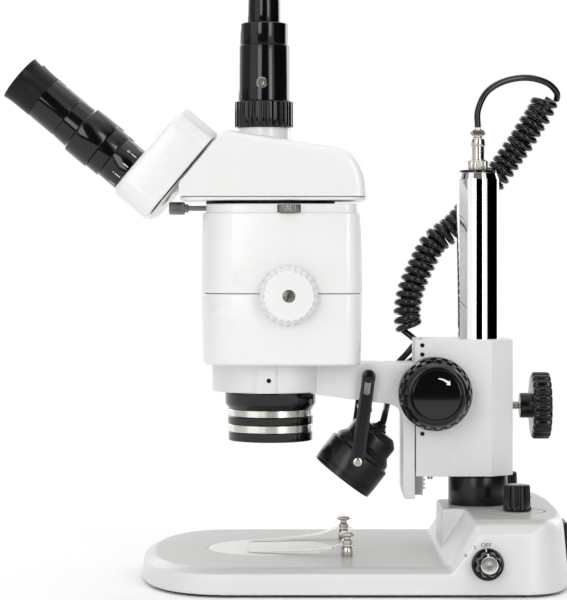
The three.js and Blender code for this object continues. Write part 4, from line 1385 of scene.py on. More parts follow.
@dataclass
class BrightnessKnobs:
    """Two tall fluted knobs on top of the housing.

    Attributes:
        radius: a knob's radius.
        low: its lower face.
        high: its top.
    """

    radius: float = 10.5
    low: float = 54.6
    high: float = 73.6

    def build(self) -> None:
        """Makes both knobs."""
        r = self.radius
        grip = fluted([(self.low, r - 0.3, 0.3), (self.low + 0.4, r, 0.5), (57.2, r, 0.7),
                       (57.8, r - 0.6, 0.9), (72.2, r - 0.9, 0.9), (73.2, r - 1.3, 0.8),
                       (self.high, r - 2.1, 0.5)], 14, 4)
        stem = rod(3, 48.5, 55, 32)
        for side in Side:
            place = spot(BRIGHTNESS_KNOBS[0], side.value * BRIGHTNESS_KNOBS[1], 0)
            add_piece(f"brightness_grip_{side.word}", grip.plus(stem), place,
                      BLACK_MOULDED, Mount(f"brightness_{side.word}", "black_satin",
                                           (f"brightness_knob_{side.word}",)), crease=40)


@dataclass
class StageClips:
    """Two spring clips, each on its own post.

    Attributes:
        x: the posts' X.
        y: their distance from the middle.
        tip: where the strips end, (X, distance from the middle).
        base: the plate's top.
    """

    x: float = 57.0
    y: float = 52.0
    tip: Pair = (-18.0, 32.0)
    base: float = PLATE_TOP

    def build(self) -> None:
        """Makes the posts and the strips."""
        post = [(0, -5), (3, -5), (3, 0.3), (4, 0.3), (4.2, 0.7), (4.2, 6.4), (3.9, 6.9),
                (3.4, 7.3), (3.4, 9.2), (4, 9.6), (4, 11.6), (3.6, 12.2), (2.6, 13), (2.5, 14.2),
                (3.4, 14.7), (5, 15.1), (5.5, 15.8), (5.5, 16.6), (5, 17.3), (3, 17.9), (0, 18)]
        pin = lathe(post, 64).moved(z=self.base)
        swing = math.degrees(math.atan2(self.y - self.tip[1], self.x - self.tip[0]))
        for side in Side:
            body = f"clip_{side.word}"
            place = spot(self.x, side.value * self.y, 0, turn_z=side.value * swing)
            add_piece(f"clip_pin_{side.word}", pin, place, NICKEL,
                      Mount(body, "steel", (f"clip_post_{side.word}",)))
            add_piece(f"clip_strip_{side.word}", self._strip(), place, BARE_STEEL,
                      Mount(body, "steel", (f"clip_spring_{side.word}",)))

    def _strip(self) -> Shape:
        """A sprung strip that slopes down to the plate and turns up at its tip."""
        length = math.dist((self.x, self.y), self.tip)
        line = [(-5.6, 8.3, 2.6), (-4.6, 8.3, 3.8), (-2.5, 8.3, 4.4), (5, 8.3, 4.4),
                (11, 6.6, 4.4), (18, 4.7, 4.4), (30, 3.1, 4.0), (46, 1.9, 3.2), (64, 1.0, 2.2),
                (length - 7, 0.55, 1.8), (length - 3.4, 0.8, 1.7), (length - 1.2, 1.6, 1.6),
                (length, 2.6, 1.4)]
        return skinned([[Vector((-s, y, self.base + h + z))
                         for y, z in ((-w, 0.0), (w, 0.0), (w, 0.55), (-w, 0.55))]
                        for s, h, w in smooth_path([Vector(p) for p in line], 5)])


# ---- pillar and focus block


@dataclass
class Pillar:
    """The chromed pillar with its cap and the plug of the lamp's cord.

    Attributes:
        x: its axis.
        radius: its radius.
        foot: its lower end.
        top: its upper end.
    """

    x: float = PILLAR_X
    radius: float = 16.0
    foot: float = 54.3
    top: float = 306.0

    def build(self) -> None:
        """Makes the tube, the cap and the plug."""
        r, top, place = self.radius, self.top, spot(self.x, 0, 0)
        tube_wall = [(12.5, self.foot), (r, self.foot), (r, top - 5.2), (r - 0.1, top - 4.9),
                     (r - 1.5, top - 0.4), (r - 1.9, top), (12.5, top)]
        add_piece("pillar_tube", lathe(tube_wall, 160, ring=True), place, CHROME,
                  Mount("base", "chrome", ("pillar",)), crease=20)
        cap = [(0, top - 8), (12.2, top - 8), (12.2, top + 0.3), (14.4, top + 0.3),
               (14.4, top + 1.2), (14.1, top + 1.7), (13.6, top + 1.9), (0, top + 1.9)]
        add_piece("pillar_end_cap", lathe(cap), place, BLACK_LACQUER,
                  Mount("base", "black_gloss", ("pillar_cap",)))
        self._plug(place)

    def _plug(self, place: Matrix) -> None:
        """The plug: a knurled nut, a nickel barrel, a clamp with two screws."""
        z = self.top + 2.2
        nut = fluted([(z, 7.2, 0.2), (z + 0.5, 7.5, 0.45), (z + 6.3, 7.5, 0.45),
                      (z + 6.8, 7.1, 0.2)], 30, per=8)
        add_piece("lamp_plug_nut", nut, place, NICKEL, Mount("base", "steel", ("lamp_plug",)))
        barrel = [(0, 6.8), (5.9, 6.8), (5.9, 7.6), (4.75, 8), (4.75, 17.6), (5.2, 17.9),
                  (5.35, 18.2), (5.35, 22.6), (4.9, 23.6), (4.1, 24.4), (2.9, 24.9), (2.9, 31.2),
                  (2.7, 31.4), (0, 31.4)]
        add_piece("lamp_plug_barrel", lathe(barrel, 72).moved(z=z), place, NICKEL,
                  Mount("base", "steel"))
        jaw = slab([(-4.4, -3.1), (4.4, -3.1), (4.4, 3.1), (-4.4, 3.1)], z + 25.4, z + 30.4, 0.6)
        jaw = jaw.cut(block((-6, 6), (-0.35, 0.35), (z + 25, z + 26.4)))
        add_piece("lamp_plug_clamp", jaw, place, NICKEL, Mount("base", "steel"), bevel=0.2)
        for side in Side:
            head = lathe([(0, 0), (1.5, 0), (1.5, 0.9), (1.0, 1.35), (0, 1.45)], 32)
            head = head.cut(block((-2, 2), (-0.22, 0.22), (0.8, 2)))
            turn = spot(self.x + side.value * 4.3, 0, z + 27.9, tilt_y=side.value * 90)
            add_piece(f"lamp_plug_screw_{side.word}", head, turn, NICKEL,
                      Mount("base", "steel"))


@dataclass
class StopCollar:
    """The black collar that the focus block rests above.

    Attributes:
        radius: its outer radius.
        low: its lower face.
        high: its upper face.
    """

    radius: float = 22.5
    low: float = 54.3
    high: float = 76.7

    def build(self) -> None:
        """Makes the collar."""
        r, low, high = self.radius, self.low, self.high
        profile = [(16.3, low), (r - 0.7, low), (r - 0.2, low + 0.2), (r, low + 0.7),
                   (r, high - 0.7), (r - 0.2, high - 0.2), (r - 0.7, high), (16.3, high)]
        add_piece("stop_collar_ring", lathe(profile, 144, ring=True), spot(PILLAR_X, 0, 0),
                  BLACK_SATIN, Mount("stop_collar", "black_gloss", ("stop_collar",)))


@dataclass
class FocusBlock:
    """The block that rides on the pillar and holds the focusing slide.

    Attributes:
        front: its front face's X.
        back: its back face's X.
        chamfer: where its rear corners start.
        half: half its width.
        low: its lower face.
        high: its upper face.
        screws: the heights of the gib screws.
    """

    front: float = 109.3
    back: float = 183.0
    chamfer: float = 166.0
    half: float = 29.0
    low: float = 77.3
    high: float = 179.7
    screws: Triple = (175.7, 168.8, 109.4)

    def build(self) -> None:
        """Makes the block and the screws set into it."""
        half, front, back, chamfer = self.half, self.front, self.back, self.chamfer
        plan = mirrored([(front, -half), (134.7, -half), (135.0, -half + 0.3), (135.3, -half),
                         (chamfer, -half), (back, -half + 13)])
        body = slab(plan, self.low, self.high, 0.7)
        slot = mirrored([(front - 2, -13.35), (115.4, -15.9), (115.4, -6), (118.8, -6)])
        body = body.cut(loft([(self.low - 2, slot), (self.high + 2, slot)]),
                        rod(16.35, self.low - 2, self.high + 2, 128).moved(PILLAR_X))
        axle = crosswise(5.3, 40, *FOCUS_SHAFT, 48)
        stem = rod(3.4, 170, 190, 32).turned("Y", 90).moved(0, 0, CLAMP_Z)
        body = body.cut(axle, stem)
        holes = [rod(1.7, -1.2, 1.2, 24).turned("X", 90).moved(114, side.value * half, z)
                 for side in Side for z in self.screws]
        body = body.cut(*holes)
        add_piece("focus_block_body", body, HOME, STAND_ENAMEL,
                  Mount("focus_block", "white_satin", ("focus_block",)), crease=24)
        for side in Side:
            for number, z in enumerate(self.screws, 1):
                screw = lathe([(0, -1.1), (1.6, -1.1), (1.6, -0.45), (1.35, -0.2), (0, -0.2)], 32)
                screw = screw.cut(slab(arc(0, 0, 0.75, 0, 300, 5), -0.9, 1))
                turn = facing(side, 114, half, z)
                add_piece(f"gib_screw_{side.word}_{number}", screw, turn, BLACK_SATIN,
                          Mount("focus_block", "black_satin"))
        pin = lathe([(0, 73.4), (1.6, 73.4), (2.0, 73.8), (2.0, 75.6), (1.4, 75.8), (1.4, 77.3),
                     (0, 77.3)], 40).cut(block((-3, 3), (-0.25, 0.25), (73, 74.1)))
        add_piece("slide_stop_screw", pin, spot(121, -8, 0), NICKEL,
                  Mount("focus_block", "steel"))


@dataclass
class ClampScrew:
    """The big knob behind the block that clamps it to the pillar.

    Attributes:
        z: its axis height.
        hub: the hub's radius.
        disc: the disc's radius.
    """

    z: float = CLAMP_Z
    hub: float = 9.5
    disc: float = 25.4

    def build(self) -> None:
        """Makes the threaded stem and the fluted knob."""
        place = spot(0, 0, self.z, tilt_y=90)
        thread: Outline = [(0, 174.4), (2.5, 174.4)]
        z = 175.0
        while z < 189.0:
            thread += [(2.55, z), (3.0, z + 0.5), (2.55, z + 1.0)]
            z += 1.0
        thread += [(2.6, 190.5), (0, 190.5)]
        add_piece("clamp_stem", lathe(thread, 48), place, NICKEL, Mount("clamp_screw", "steel"))
        r, depth = self.disc, 1.9
        grip = fluted([(198.3, r - 5, 0), (198.6, r - 2.4, depth * 0.5), (199.3, r - 0.7, depth),
                       (200.4, r, depth), (210.8, r, depth), (211.9, r - 0.6, depth),
                       (212.5, r - 2, depth * 0.7), (212.6, r - 3.4, 0.4)], 22, 1.5)
        dish = lathe([(0, 211.2), (15.5, 211.2), (16.5, 215), (0, 215)])
        hub = [(0, 189.7), (self.hub - 0.6, 189.7), (self.hub, 190.3), (self.hub, 198),
               (self.hub + 0.6, 199.5), (0, 199.5)]
        knob = grip.cut(dish).joined(lathe(hub))
        add_piece("clamp_knob", knob, place, BLACK_MOULDED,
                  Mount("clamp_screw", "black_satin", ("clamp_screw",)), crease=40)


# ---- focusing drive and arm


@dataclass
class FocusDrive:
    """The pinion shaft and its two flared knobs.

    Attributes:
        x: the shaft's X.
        z: the shaft's height.
        back: from the middle to a knob's back.
        depth: a knob's depth.
        blocks: how many raised blocks run round the cone.
    """

    x: float = FOCUS_SHAFT[0]
    z: float = FOCUS_SHAFT[1]
    back: float = 31.0
    depth: float = 30.0
    blocks: int = 20

    def build(self) -> None:
        """Makes both knobs, their face discs and the arrow on the right one."""
        dress("focus_shaft", BARE_STEEL)
        for side in Side:
            mount = Mount("focus_drive", "black_satin", (f"focus_knob_{side.word}",))
            place = facing(side, self.x, self.back, self.z)
            add_piece(f"focus_grip_{side.word}", self._grip(), place, BLACK_MOULDED, mount,
                      crease=26)
            disc = [(0, 22), (18.2, 22), (18.2, 28.6), (17.8, 29.1), (17.1, 29.25),
                    (0, 29.3)]
            add_piece(f"focus_face_{side.word}", lathe(disc), place, BLACK_LACQUER,
                      Mount("focus_drive", "black_gloss"))
        place = facing(Side.RIGHT, self.x, self.back, self.z)
        add_piece("focus_arrow", self._arrow(29.25), place, WHITE_INK,
                  Mount("focus_drive", "white_gloss"))

    def _grip(self) -> Shape:
        """A smooth rim, then a cone with two rows of staggered blocks, then a plain ring."""
        count = self.blocks
        rows = [(0.0, 26.2, 0.0, 0.0), (0.5, 26.9, 0.0, 0.0), (1.6, 27.5, 0.0, 0.0),
                (12.4, 27.5, 0.0, 0.0), (13.4, 27.2, 0.0, 0.0), (13.6, 27.1, 1.5, 0.0),
                (18.6, 25.9, 1.5, 0.0), (18.8, 25.8, 1.5, 0.5), (24.4, 24.0, 1.5, 0.5),
                (24.6, 23.9, 0.0, 0.5), (26.8, 22.9, 0.0, 0.5), (28.6, 21.9, 0.0, 0.5),
                (29.6, 21.1, 0.0, 0.5), (30.0, 20.2, 0.0, 0.5), (30.0, 19.2, 0.0, 0.5),
                (29.4, 18.5, 0.0, 0.5)]
        levels = []
        for z, radius, depth, turn in rows:
            outline: Outline = []
            for i in range(count * 12):
                angle = math.tau * i / (count * 12)
                reach = radius - (depth if (i / 12 + turn) % 1.0 < 0.5 else 0.0)
                outline.append((reach * math.cos(angle), reach * math.sin(angle)))
            levels.append((z, outline))
        return loft(levels).cut(rod(18.45, 28.2, 40, 96))

    def _arrow(self, height: float) -> Shape:
        """A curved arrow that tapers open to its head.

        Args:
            height: the face it is printed on.
        """
        start, end, middle = 86.0, 50.0, 12.6
        outer = [(math.radians(start + (end - start) * i / 16), 0.35 + 0.55 * i / 16)
                 for i in range(17)]
        line = [((middle + w) * math.cos(a), (middle + w) * math.sin(a)) for a, w in outer]
        back = [((middle - w) * math.cos(a), (middle - w) * math.sin(a)) for a, w in outer]
        tip, wide = math.radians(38), math.radians(end)
        head = [((middle + 2.2) * math.cos(wide), (middle + 2.2) * math.sin(wide)),
                (middle * math.cos(tip), middle * math.sin(tip)),
                ((middle - 2.2) * math.cos(wide), (middle - 2.2) * math.sin(wide))]
        outline = line + head + back[::-1]
        return loft([(height - 0.05, outline[::-1]), (height + 0.12, outline[::-1])])


@dataclass
class Arm:
    """The slide plate, the arm and the ring that holds the zoom body.

    Attributes:
        front: the slide plate's front face.
        back: its back face.
        low: its lower end.
        high: the arm's top.
        half: half the width.
        ring: the ring's outer radius.
        bore: the ring's bore.
        ring_low: the ring's lower face.
    """

    front: float = 99.6
    back: float = 108.6
    low: float = 60.3
    high: float = 161.4
    half: float = 27.0
    ring: float = 44.25
    bore: float = 38.15
    ring_low: float = 140.4

    def build(self) -> None:
        """Makes the arm, its rail and the screws set into it."""
        mount = Mount("carriage", "white_satin", ("arm_carriage",))
        add_piece("arm_casting", self._casting(), HOME, STAND_ENAMEL, mount, crease=24)
        rail = mirrored([(self.back - 0.4, -12.9), (115, -15.5), (115, -5.3), (112.2, -5.3)])
        add_piece("slide_rail", slab(rail, 62, 160, 0.3), HOME, BARE_STEEL,
                  Mount("carriage", "steel"))
        dress("focus_rack", BARE_STEEL)
        screw = lathe([(0, -3), (1.6, -3), (1.6, -0.7), (0, -0.7)], 32)
        add_piece("ring_set_screw", screw, spot(-1, -45.2, 150, tilt_x=90), BLACK_SATIN,
                  Mount("carriage", "black_satin"))
        knob = [(0, 0.3), (3.6, 0.3), (4.5, 0.6), (4.75, 1.1), (4.75, 4.6), (4.3, 5.3),
                (3.4, 5.6), (0, 5.6)]
        for side in Side:
            place = facing(side, FORK_PIVOT[0], 34.2, FORK_PIVOT[1])
            stem = rod(2.0, -12, 0.5, 32)
            add_piece(f"fork_thumb_knob_{side.word}", lathe(knob, 72).plus(stem), place,
                      BLACK_MOULDED, Mount("carriage", "black_satin",
                                           (f"fork_knob_{side.word}",)))

    def _casting(self) -> Shape:
        """Plate, arm and ring in one."""
        side_view = [(30, 139.4), (60, 135.4), (88, 131.8), (92.2, 130.7), (95.4, 128.8),
                     (97.8, 126.2), (99.1, 123.4), (self.front, 120), (self.front, self.low + 6),
                     (self.front + 1.4, self.low), (self.back, self.low),
                     (self.back, self.high), (30, self.high)]
        plate = upright(slab(side_view, -self.half, self.half, 0.8))
        hoop = lathe([(30, self.ring_low), (self.ring - 0.8, self.ring_low),
                      (self.ring, self.ring_low + 0.8), (self.ring, self.high - 0.5),
                      (self.ring - 0.5, self.high), (30, self.high)], 192, ring=True)
        pad = slab([(-9.3, -self.ring - 0.95), (3.6, -self.ring - 0.95), (6.4, -self.ring + 0.9),
                    (6.4, -self.ring + 6), (-12.1, -self.ring + 6), (-12.1, -self.ring + 0.9)],
                   self.ring_low + 0.1, self.high - 0.1, 0.3)
        body = plate.joined(hoop, pad)
        body = body.cut(rod(self.bore, self.ring_low - 5, self.high + 5, 192))
        hole = rod(1.75, -3, 6, 32).turned("X", 90).moved(-1, -self.ring, 150)
        pin = crosswise(2.4, 40, *FORK_PIVOT)
        return body.cut(hole, pin)


# ---- zoom body


@dataclass
class ZoomBody:
    """The white zoom housing in two halves, and the objective below it.

    Attributes:
        front: its front.
        rear: its rear.
        half: half its width.
        low: its lower face.
        seam: where its halves meet.
        shoulder: where it steps in.
        high: its top.
    """

    front: float = -51.4
    rear: float = 68.2
    half: float = 60.0
    low: float = 161.8
    seam: float = 215.0
    shoulder: float = 275.0
    high: float = 281.6

    def build(self) -> None:
        """Makes the halves, the objective and its lens."""
        lower = self._stacked([(self.low, 3.4), (self.low + 0.5, 2.4), (self.low + 1.6, 1.5),
                               (self.low + 3.2, 1.1), (self.seam - 1.6, 0.1),
                               (self.seam - 0.8, 0.15), (self.seam - 0.3, 0.6)])
        spigot = rod(37.4, 140.5, self.low + 1, 128)
        bore = crosswise(4.4, 80, *ZOOM_SHAFT, 48)
        add_piece("zoom_case_lower", lower.joined(spigot).cut(bore), HOME, WHITE_ENAMEL,
                  Mount("zoom_body", "white_gloss", ("zoom_body_lower",)), crease=20)
        upper = self._stacked([(self.seam + 0.3, 0.6), (self.seam + 0.7, 0.15),
                               (self.seam + 1.4, 0.0), (self.shoulder - 2.4, 0.7),
                               (self.shoulder - 0.9, 1.1), (self.shoulder - 0.2, 1.9),
                               (self.shoulder, 2.8)])
        neck = self._stacked([(self.shoulder - 1, 3.1), (self.high - 1, 3.3),
                              (self.high - 0.3, 3.6), (self.high, 4.2)])
        notch = block((5.4, 22.6), (-70, -46.5), (275.2, 281.0))
        hole = rod(2.4, -72, -45, 32).turned("Y", 90).moved(0, 0, HEAD_LOCK_Z)
        upper = upper.joined(neck).cut(bore).cut(notch, hole)
        add_piece("zoom_case_upper", upper, HOME, WHITE_ENAMEL,
                  Mount("zoom_body", "white_gloss", ("zoom_body_upper",)), crease=20)
        self._objective()

    def _plan(self) -> Outline:
        """Plan: rounded rear corners, and a bowed front that meets the sides at a crease."""
        front, rear, half = self.front, self.rear, self.half
        right = bulge((front, -half + 30), (front + 25, -half), 78, 18)
        corner = arc(rear - 14, -half + 14, 14, 270, 360, 14)
        return mirrored([*right, *corner])

    def _stacked(self, levels: Sequence[tuple[float, float]]) -> Shape:
        """Stacks the plan at heights, each smaller by an edge."""
        return loft([(z, inset(self._plan(), edge)) for z, edge in levels])

    def _objective(self) -> None:
        """The objective barrel, with its two bright bands, and the front lens."""
        barrel = [(0, 112.6), (27.9, 112.6), (28.2, 104.2), (29.2, 102.9), (31.0, 102.6),
                  (31.8, 102.9), (32.0, 103.5), (32.0, 109.1), (31.6, 109.5), (31.6, 115.2),
                  (32.2, 115.5), (32.4, 115.9), (32.4, 120.7), (32.1, 121.1), (31.6, 121.3),
                  (31.6, 126.6), (31.9, 126.9), (34.1, 130.3), (34.4, 130.9), (34.4, 139.7),
                  (34.0, 140.1), (0, 140.1)]
        add_piece("objective_shell", lathe(barrel, 160), HOME, BLACK_LACQUER,
                  Mount("zoom_body", "black_gloss", ("objective_barrel",)))
        for name, low, high in (("lower", 109.7, 115.0), ("upper", 121.4, 126.4)):
            band = [(31.0, low), (31.9, low), (32.05, low + 0.2), (32.05, high - 0.2),
                    (31.9, high), (31.0, high)]
            add_piece(f"objective_band_{name}", lathe(band, 160, ring=True), HOME, BRIGHT_BAND,
                      Mount("zoom_body", "steel"))
        lens = [(0, 104.2), (7, 104.35), (14, 104.85), (21, 105.8), (27.2, 107.2),
                (27.2, 112.0), (0, 112.0)]
        add_piece("objective_front_lens", lathe(lens, 128), HOME, LENS_GLASS,
                  Mount("zoom_body", "glass", ("objective_lens",)))


@dataclass
class ZoomSpindle:
    """The zoom shaft with a scalloped white knob on each end.

    Attributes:
        x: the shaft's X.
        z: its height.
        face: the face's radius.
        rim: the rim's radius.
        depth: a knob's depth.
    """

    x: float = ZOOM_SHAFT[0]
    z: float = ZOOM_SHAFT[1]
    face: float = 19.0
    rim: float = 22.0
    depth: float = 14.2

    def build(self) -> None:
        """Makes both knobs and their slotted screws."""
        dress("zoom_shaft", BARE_STEEL)
        face, rim, depth = self.face, self.rim, self.depth
        rows = [(0.0, rim - 0.6, 1.0), (0.5, rim, 1.1), (3.2, rim, 1.1), (4.2, rim - 0.7, 1.1),
                (5.2, face + 1.1, 1.0), (7.0, face + 0.5, 1.0), (depth - 1.3, face, 1.0),
                (depth - 0.5, face - 0.35, 0.9), (depth - 0.1, face - 0.9, 0.7),
                (depth, face - 1.5, 0.5)]
        dish = lathe([(0, depth - 2.4), (4.7, depth - 2.4), (4.7, depth + 1), (0, depth + 1)], 64)
        grip = fluted(rows, 24, 1.2).cut(dish)
        for side in Side:
            place = facing(side, self.x, 60.8, self.z)
            add_piece(f"zoom_grip_{side.word}", grip, place, WHITE_ENAMEL,
                      Mount("zoom_spindle", "white_gloss", (f"zoom_knob_{side.word}",)),
                      crease=40)
            head = lathe([(0, depth - 2.3), (4.35, depth - 2.3), (4.35, depth - 0.6),
                          (4.0, depth - 0.25), (2.9, depth - 0.05), (0, depth)], 64)
            slot = block((-0.6, 0.6), (-6, 6), (depth - 1.7, depth + 1)).turned("Z", -20)
            add_piece(f"zoom_screw_{side.word}", head.cut(slot), place, DARK_STEEL,
                      Mount("zoom_spindle", "dark_steel"))


@dataclass
class BodyControls:
    """The aperture wheel under the head and the knurled screw that locks the head.

    Attributes:
        wheel: the wheel's (X, Y).
        lock_z: the screw's height.
    """

    wheel: Pair = (14.0, -56.0)
    lock_z: float = HEAD_LOCK_Z

    def build(self) -> None:
        """Makes the wheel and the screw."""
        rows = [(275.5, 7.6, 0.2), (275.8, 8.0, 0.45), (277.9, 8.05, 0.45), (278.1, 7.9, 0.1),
                (278.4, 7.9, 0.1), (278.6, 8.05, 0.45), (280.3, 8.05, 0.45), (280.7, 7.7, 0.2)]
        wheel = fluted(rows, 26, per=8)
        add_piece("aperture_thumb_wheel", wheel, spot(*self.wheel, 0), DARK_STEEL,
                  Mount("aperture_wheel", "dark_steel", ("aperture_wheel",)), crease=50)
        rows = [(-77.2, 4.1, 0.0), (-76.9, 4.5, 0.3), (-76.2, 4.85, 0.45), (-66.2, 4.85, 0.45),
                (-65.5, 4.5, 0.3), (-65.2, 4.0, 0.0)]
        head = fluted(rows, 22, per=8)
        stem = lathe([(0, -65.4), (3.2, -65.4), (3.2, -62.8), (2.9, -62.5), (1.95, -62.3),
                      (1.95, -47.3), (0, -47.3)], 48)
        place = spot(0, 0, self.lock_z, tilt_y=90)
        add_piece("head_lock_knob", head.plus(stem), place, DARK_STEEL,
                  Mount("head_lock_screw", "dark_steel", ("head_lock_screw",)), crease=50)


# ---- head


@dataclass
class Head:
    """The head: a base plate, a rounded shell with a neck, and the binocular's back plate.

    Attributes:
        half: half its width.
        low: the shell's lower edge.
        neck: the neck's radius.
        neck_top: the neck's upper edge.
        profile: its side view behind the slope, (X, Z).
    """

    half: float = 62.5
    low: float = 287.1
    neck: float = 20.25
    neck_top: float = 340.0
    profile: tuple[Pair, ...] = (
        (71.6, 287.1), (71.4, 293), (70.9, 299), (69.6, 305), (67.2, 310.8), (64.2, 315.4),
        (60.2, 318.9), (55.4, 321.4), (50, 323.1), (44, 324.2), (20, 328.0), (-5, 332.1),
        (-27, 335.6))

    def build(self) -> None:
        """Makes the shell, the base plate and the plate behind the eyepieces."""
        add_piece("head_shell", self._shell(), HOME, WHITE_ENAMEL,
                  Mount("head", "white_gloss", ("head_housing",)), crease=30)
        plan = self._plan(-66.8, 71.6, 61, 12, 16)
        plate = loft([(284.2, inset(plan, 1.4)), (284.4, inset(plan, 0.5)), (284.9, plan),
                      (286.2, plan), (286.6, inset(plan, 0.4)), (286.7, inset(plan, 1.2))])
        disc = rod(49, 281.9, 284.6, 128, 0.3)
        add_piece("head_base_plate", plate, HOME, WHITE_ENAMEL,
                  Mount("head", "white_gloss", ("head_base",)), crease=30)
        # A near-black disc in the gap between zoom body and head: painted shade.
        add_piece("head_dovetail", disc, HOME, PAINTED_GAP_SHADE, Mount("head", "black_satin"))
        circles = [(44, -38, 16), (44, 38, 16), (-1, -42, 14.6), (-1, 42, 14.6)]
        back = slab(evened(hull(circles, 0), 240), -34, -33.0, 0.2)
        add_piece("binocular_back_plate", back, eye_spot(), BARE_STEEL,
                  Mount("head", "steel", ("binocular_plate",)))
        # A near-black sheet in the gap behind the prism boxes: painted shade.
        shade_sheet = slab(evened(hull(circles, 3), 240), -33.1, -32.25, 0)
        add_piece("binocular_slip_plate", shade_sheet, eye_spot(), PAINTED_GAP_SHADE,
                  Mount("head", "black_satin"))

    @staticmethod
    def _plan(front: float, rear: float, half: float, fore: float, aft: float) -> Outline:
        """A rounded rectangle with one radius in front and another behind."""
        return [*arc(front + fore, -half + fore, fore, 180, 270, 12),
                *arc(rear - aft, -half + aft, aft, 270, 360, 12),
                *arc(rear - aft, half - aft, aft, 0, 90, 12),
                *arc(front + fore, half - fore, fore, 90, 180, 12)]

    def _shell(self) -> Shape:
        """The shell, rolled over generously along both sides, with its neck."""
        roll = [(0.0, 8.6), (0.25, 6.4), (0.9, 4.6), (2.0, 3.0), (3.6, 1.7), (5.8, 0.75),
                (8.4, 0.2), (11.5, 0.0)]
        half = self.half
        near = [(-half + depth, self._section(edge)) for depth, edge in roll]
        rolled = upright(loft([*near, *((-y, outline) for y, outline in reversed(near))]))
        front = [(-66.8, 280), (-67.2, 296), (-66.6, 297.4), (-37.2, 332.4), (-35.6, 334.2),
                 (-33.4, 335.4), (-30, 336), (-28, 345), (-100, 345), (-100, 280)]
        wedge = upright(slab(front, -half - 6, half + 6))
        r, top = self.neck, self.neck_top
        neck = lathe([(0, 318), (r, 318), (r, top - 0.6), (r - 0.2, top - 0.2), (r - 0.6, top),
                      (0, top)], 128)
        return rolled.cut(wedge).joined(neck.moved(PORT_X))

    def _section(self, edge: float) -> Outline:
        """The side view carried on ahead of the slope, smaller by edge but with its floor kept."""
        ahead = [(-81, self.low), *self.profile, (-45, 338.4), (-75, 303), (-81, 296)]
        floor = [(x, max(z, self.low)) for x, z in inset(ahead, edge)]
        return [(floor[0][0], self.low), (floor[1][0], self.low), *floor[2:]]


def eye_spot(y: float = 0.0) -> Matrix:
    """The frame of the binocular: X up its face, Z out along an eyepiece, at a distance y."""
    return spot(-104.2, y, 306.3, tilt_y=-50)


@dataclass
class PhotoPort:
    """The upright camera tube and the knurled ring that clamps it.

    Attributes:
        ribs: how many ribs the ring has.
    """

    ribs: int = 26

    def build(self) -> None:
        """Makes the ring, the tube and its screw."""
        rows = [(340.3, 21.5, 0.0), (340.6, 22.1, 0.9), (341.0, 22.3, 1.0), (359.2, 22.3, 1.0),
                (359.6, 22.1, 0.9), (359.9, 21.4, 0.0)]
        ring = fluted(rows, self.ribs, 2.2).cut(rod(17.4, 330, 370, 96))
        add_piece("photo_ring_grip", ring, spot(PORT_X, 0, 0), BLACK_LACQUER,
                  Mount("photo_clamp_ring", "black_gloss", ("photo_clamp_ring",)), crease=40)
        tube_wall = [(0, 398), (11.4, 398), (11.4, 337.0), (16.8, 337.0), (16.8, 360.2),
                     (18.9, 360.2), (19.4, 360.7), (19.4, 402.0), (19.2, 402.4), (18.3, 402.6),
                     (17.9, 403.0), (18.1, 403.5), (18.1, 418.8), (17.7, 419.4), (12.6, 419.8),
                     (12.2, 420.3), (12.4, 420.8), (12.4, 436.6), (12.2, 437.3), (11.8, 437.6),
                     (0, 437.6)]
        add_piece("photo_tube_barrel", lathe(tube_wall, 144), spot(PORT_X, 0, 0), BLACK_LACQUER,
                  Mount("photo_tube", "black_gloss", ("photo_tube",)))
        head = lathe([(0, -1.2), (4.2, -1.2), (4.2, 0.5), (3.9, 0.8), (2.1, 0.85), (1.9, 0.55),
                      (1.2, 0.5), (0.9, 0.2), (0, 0.2)], 64)
        add_piece("photo_tube_screw", head, spot(PORT_X - 1.6, -19.4, 373.4, tilt_x=90), NICKEL,
                  Mount("photo_tube", "steel"))


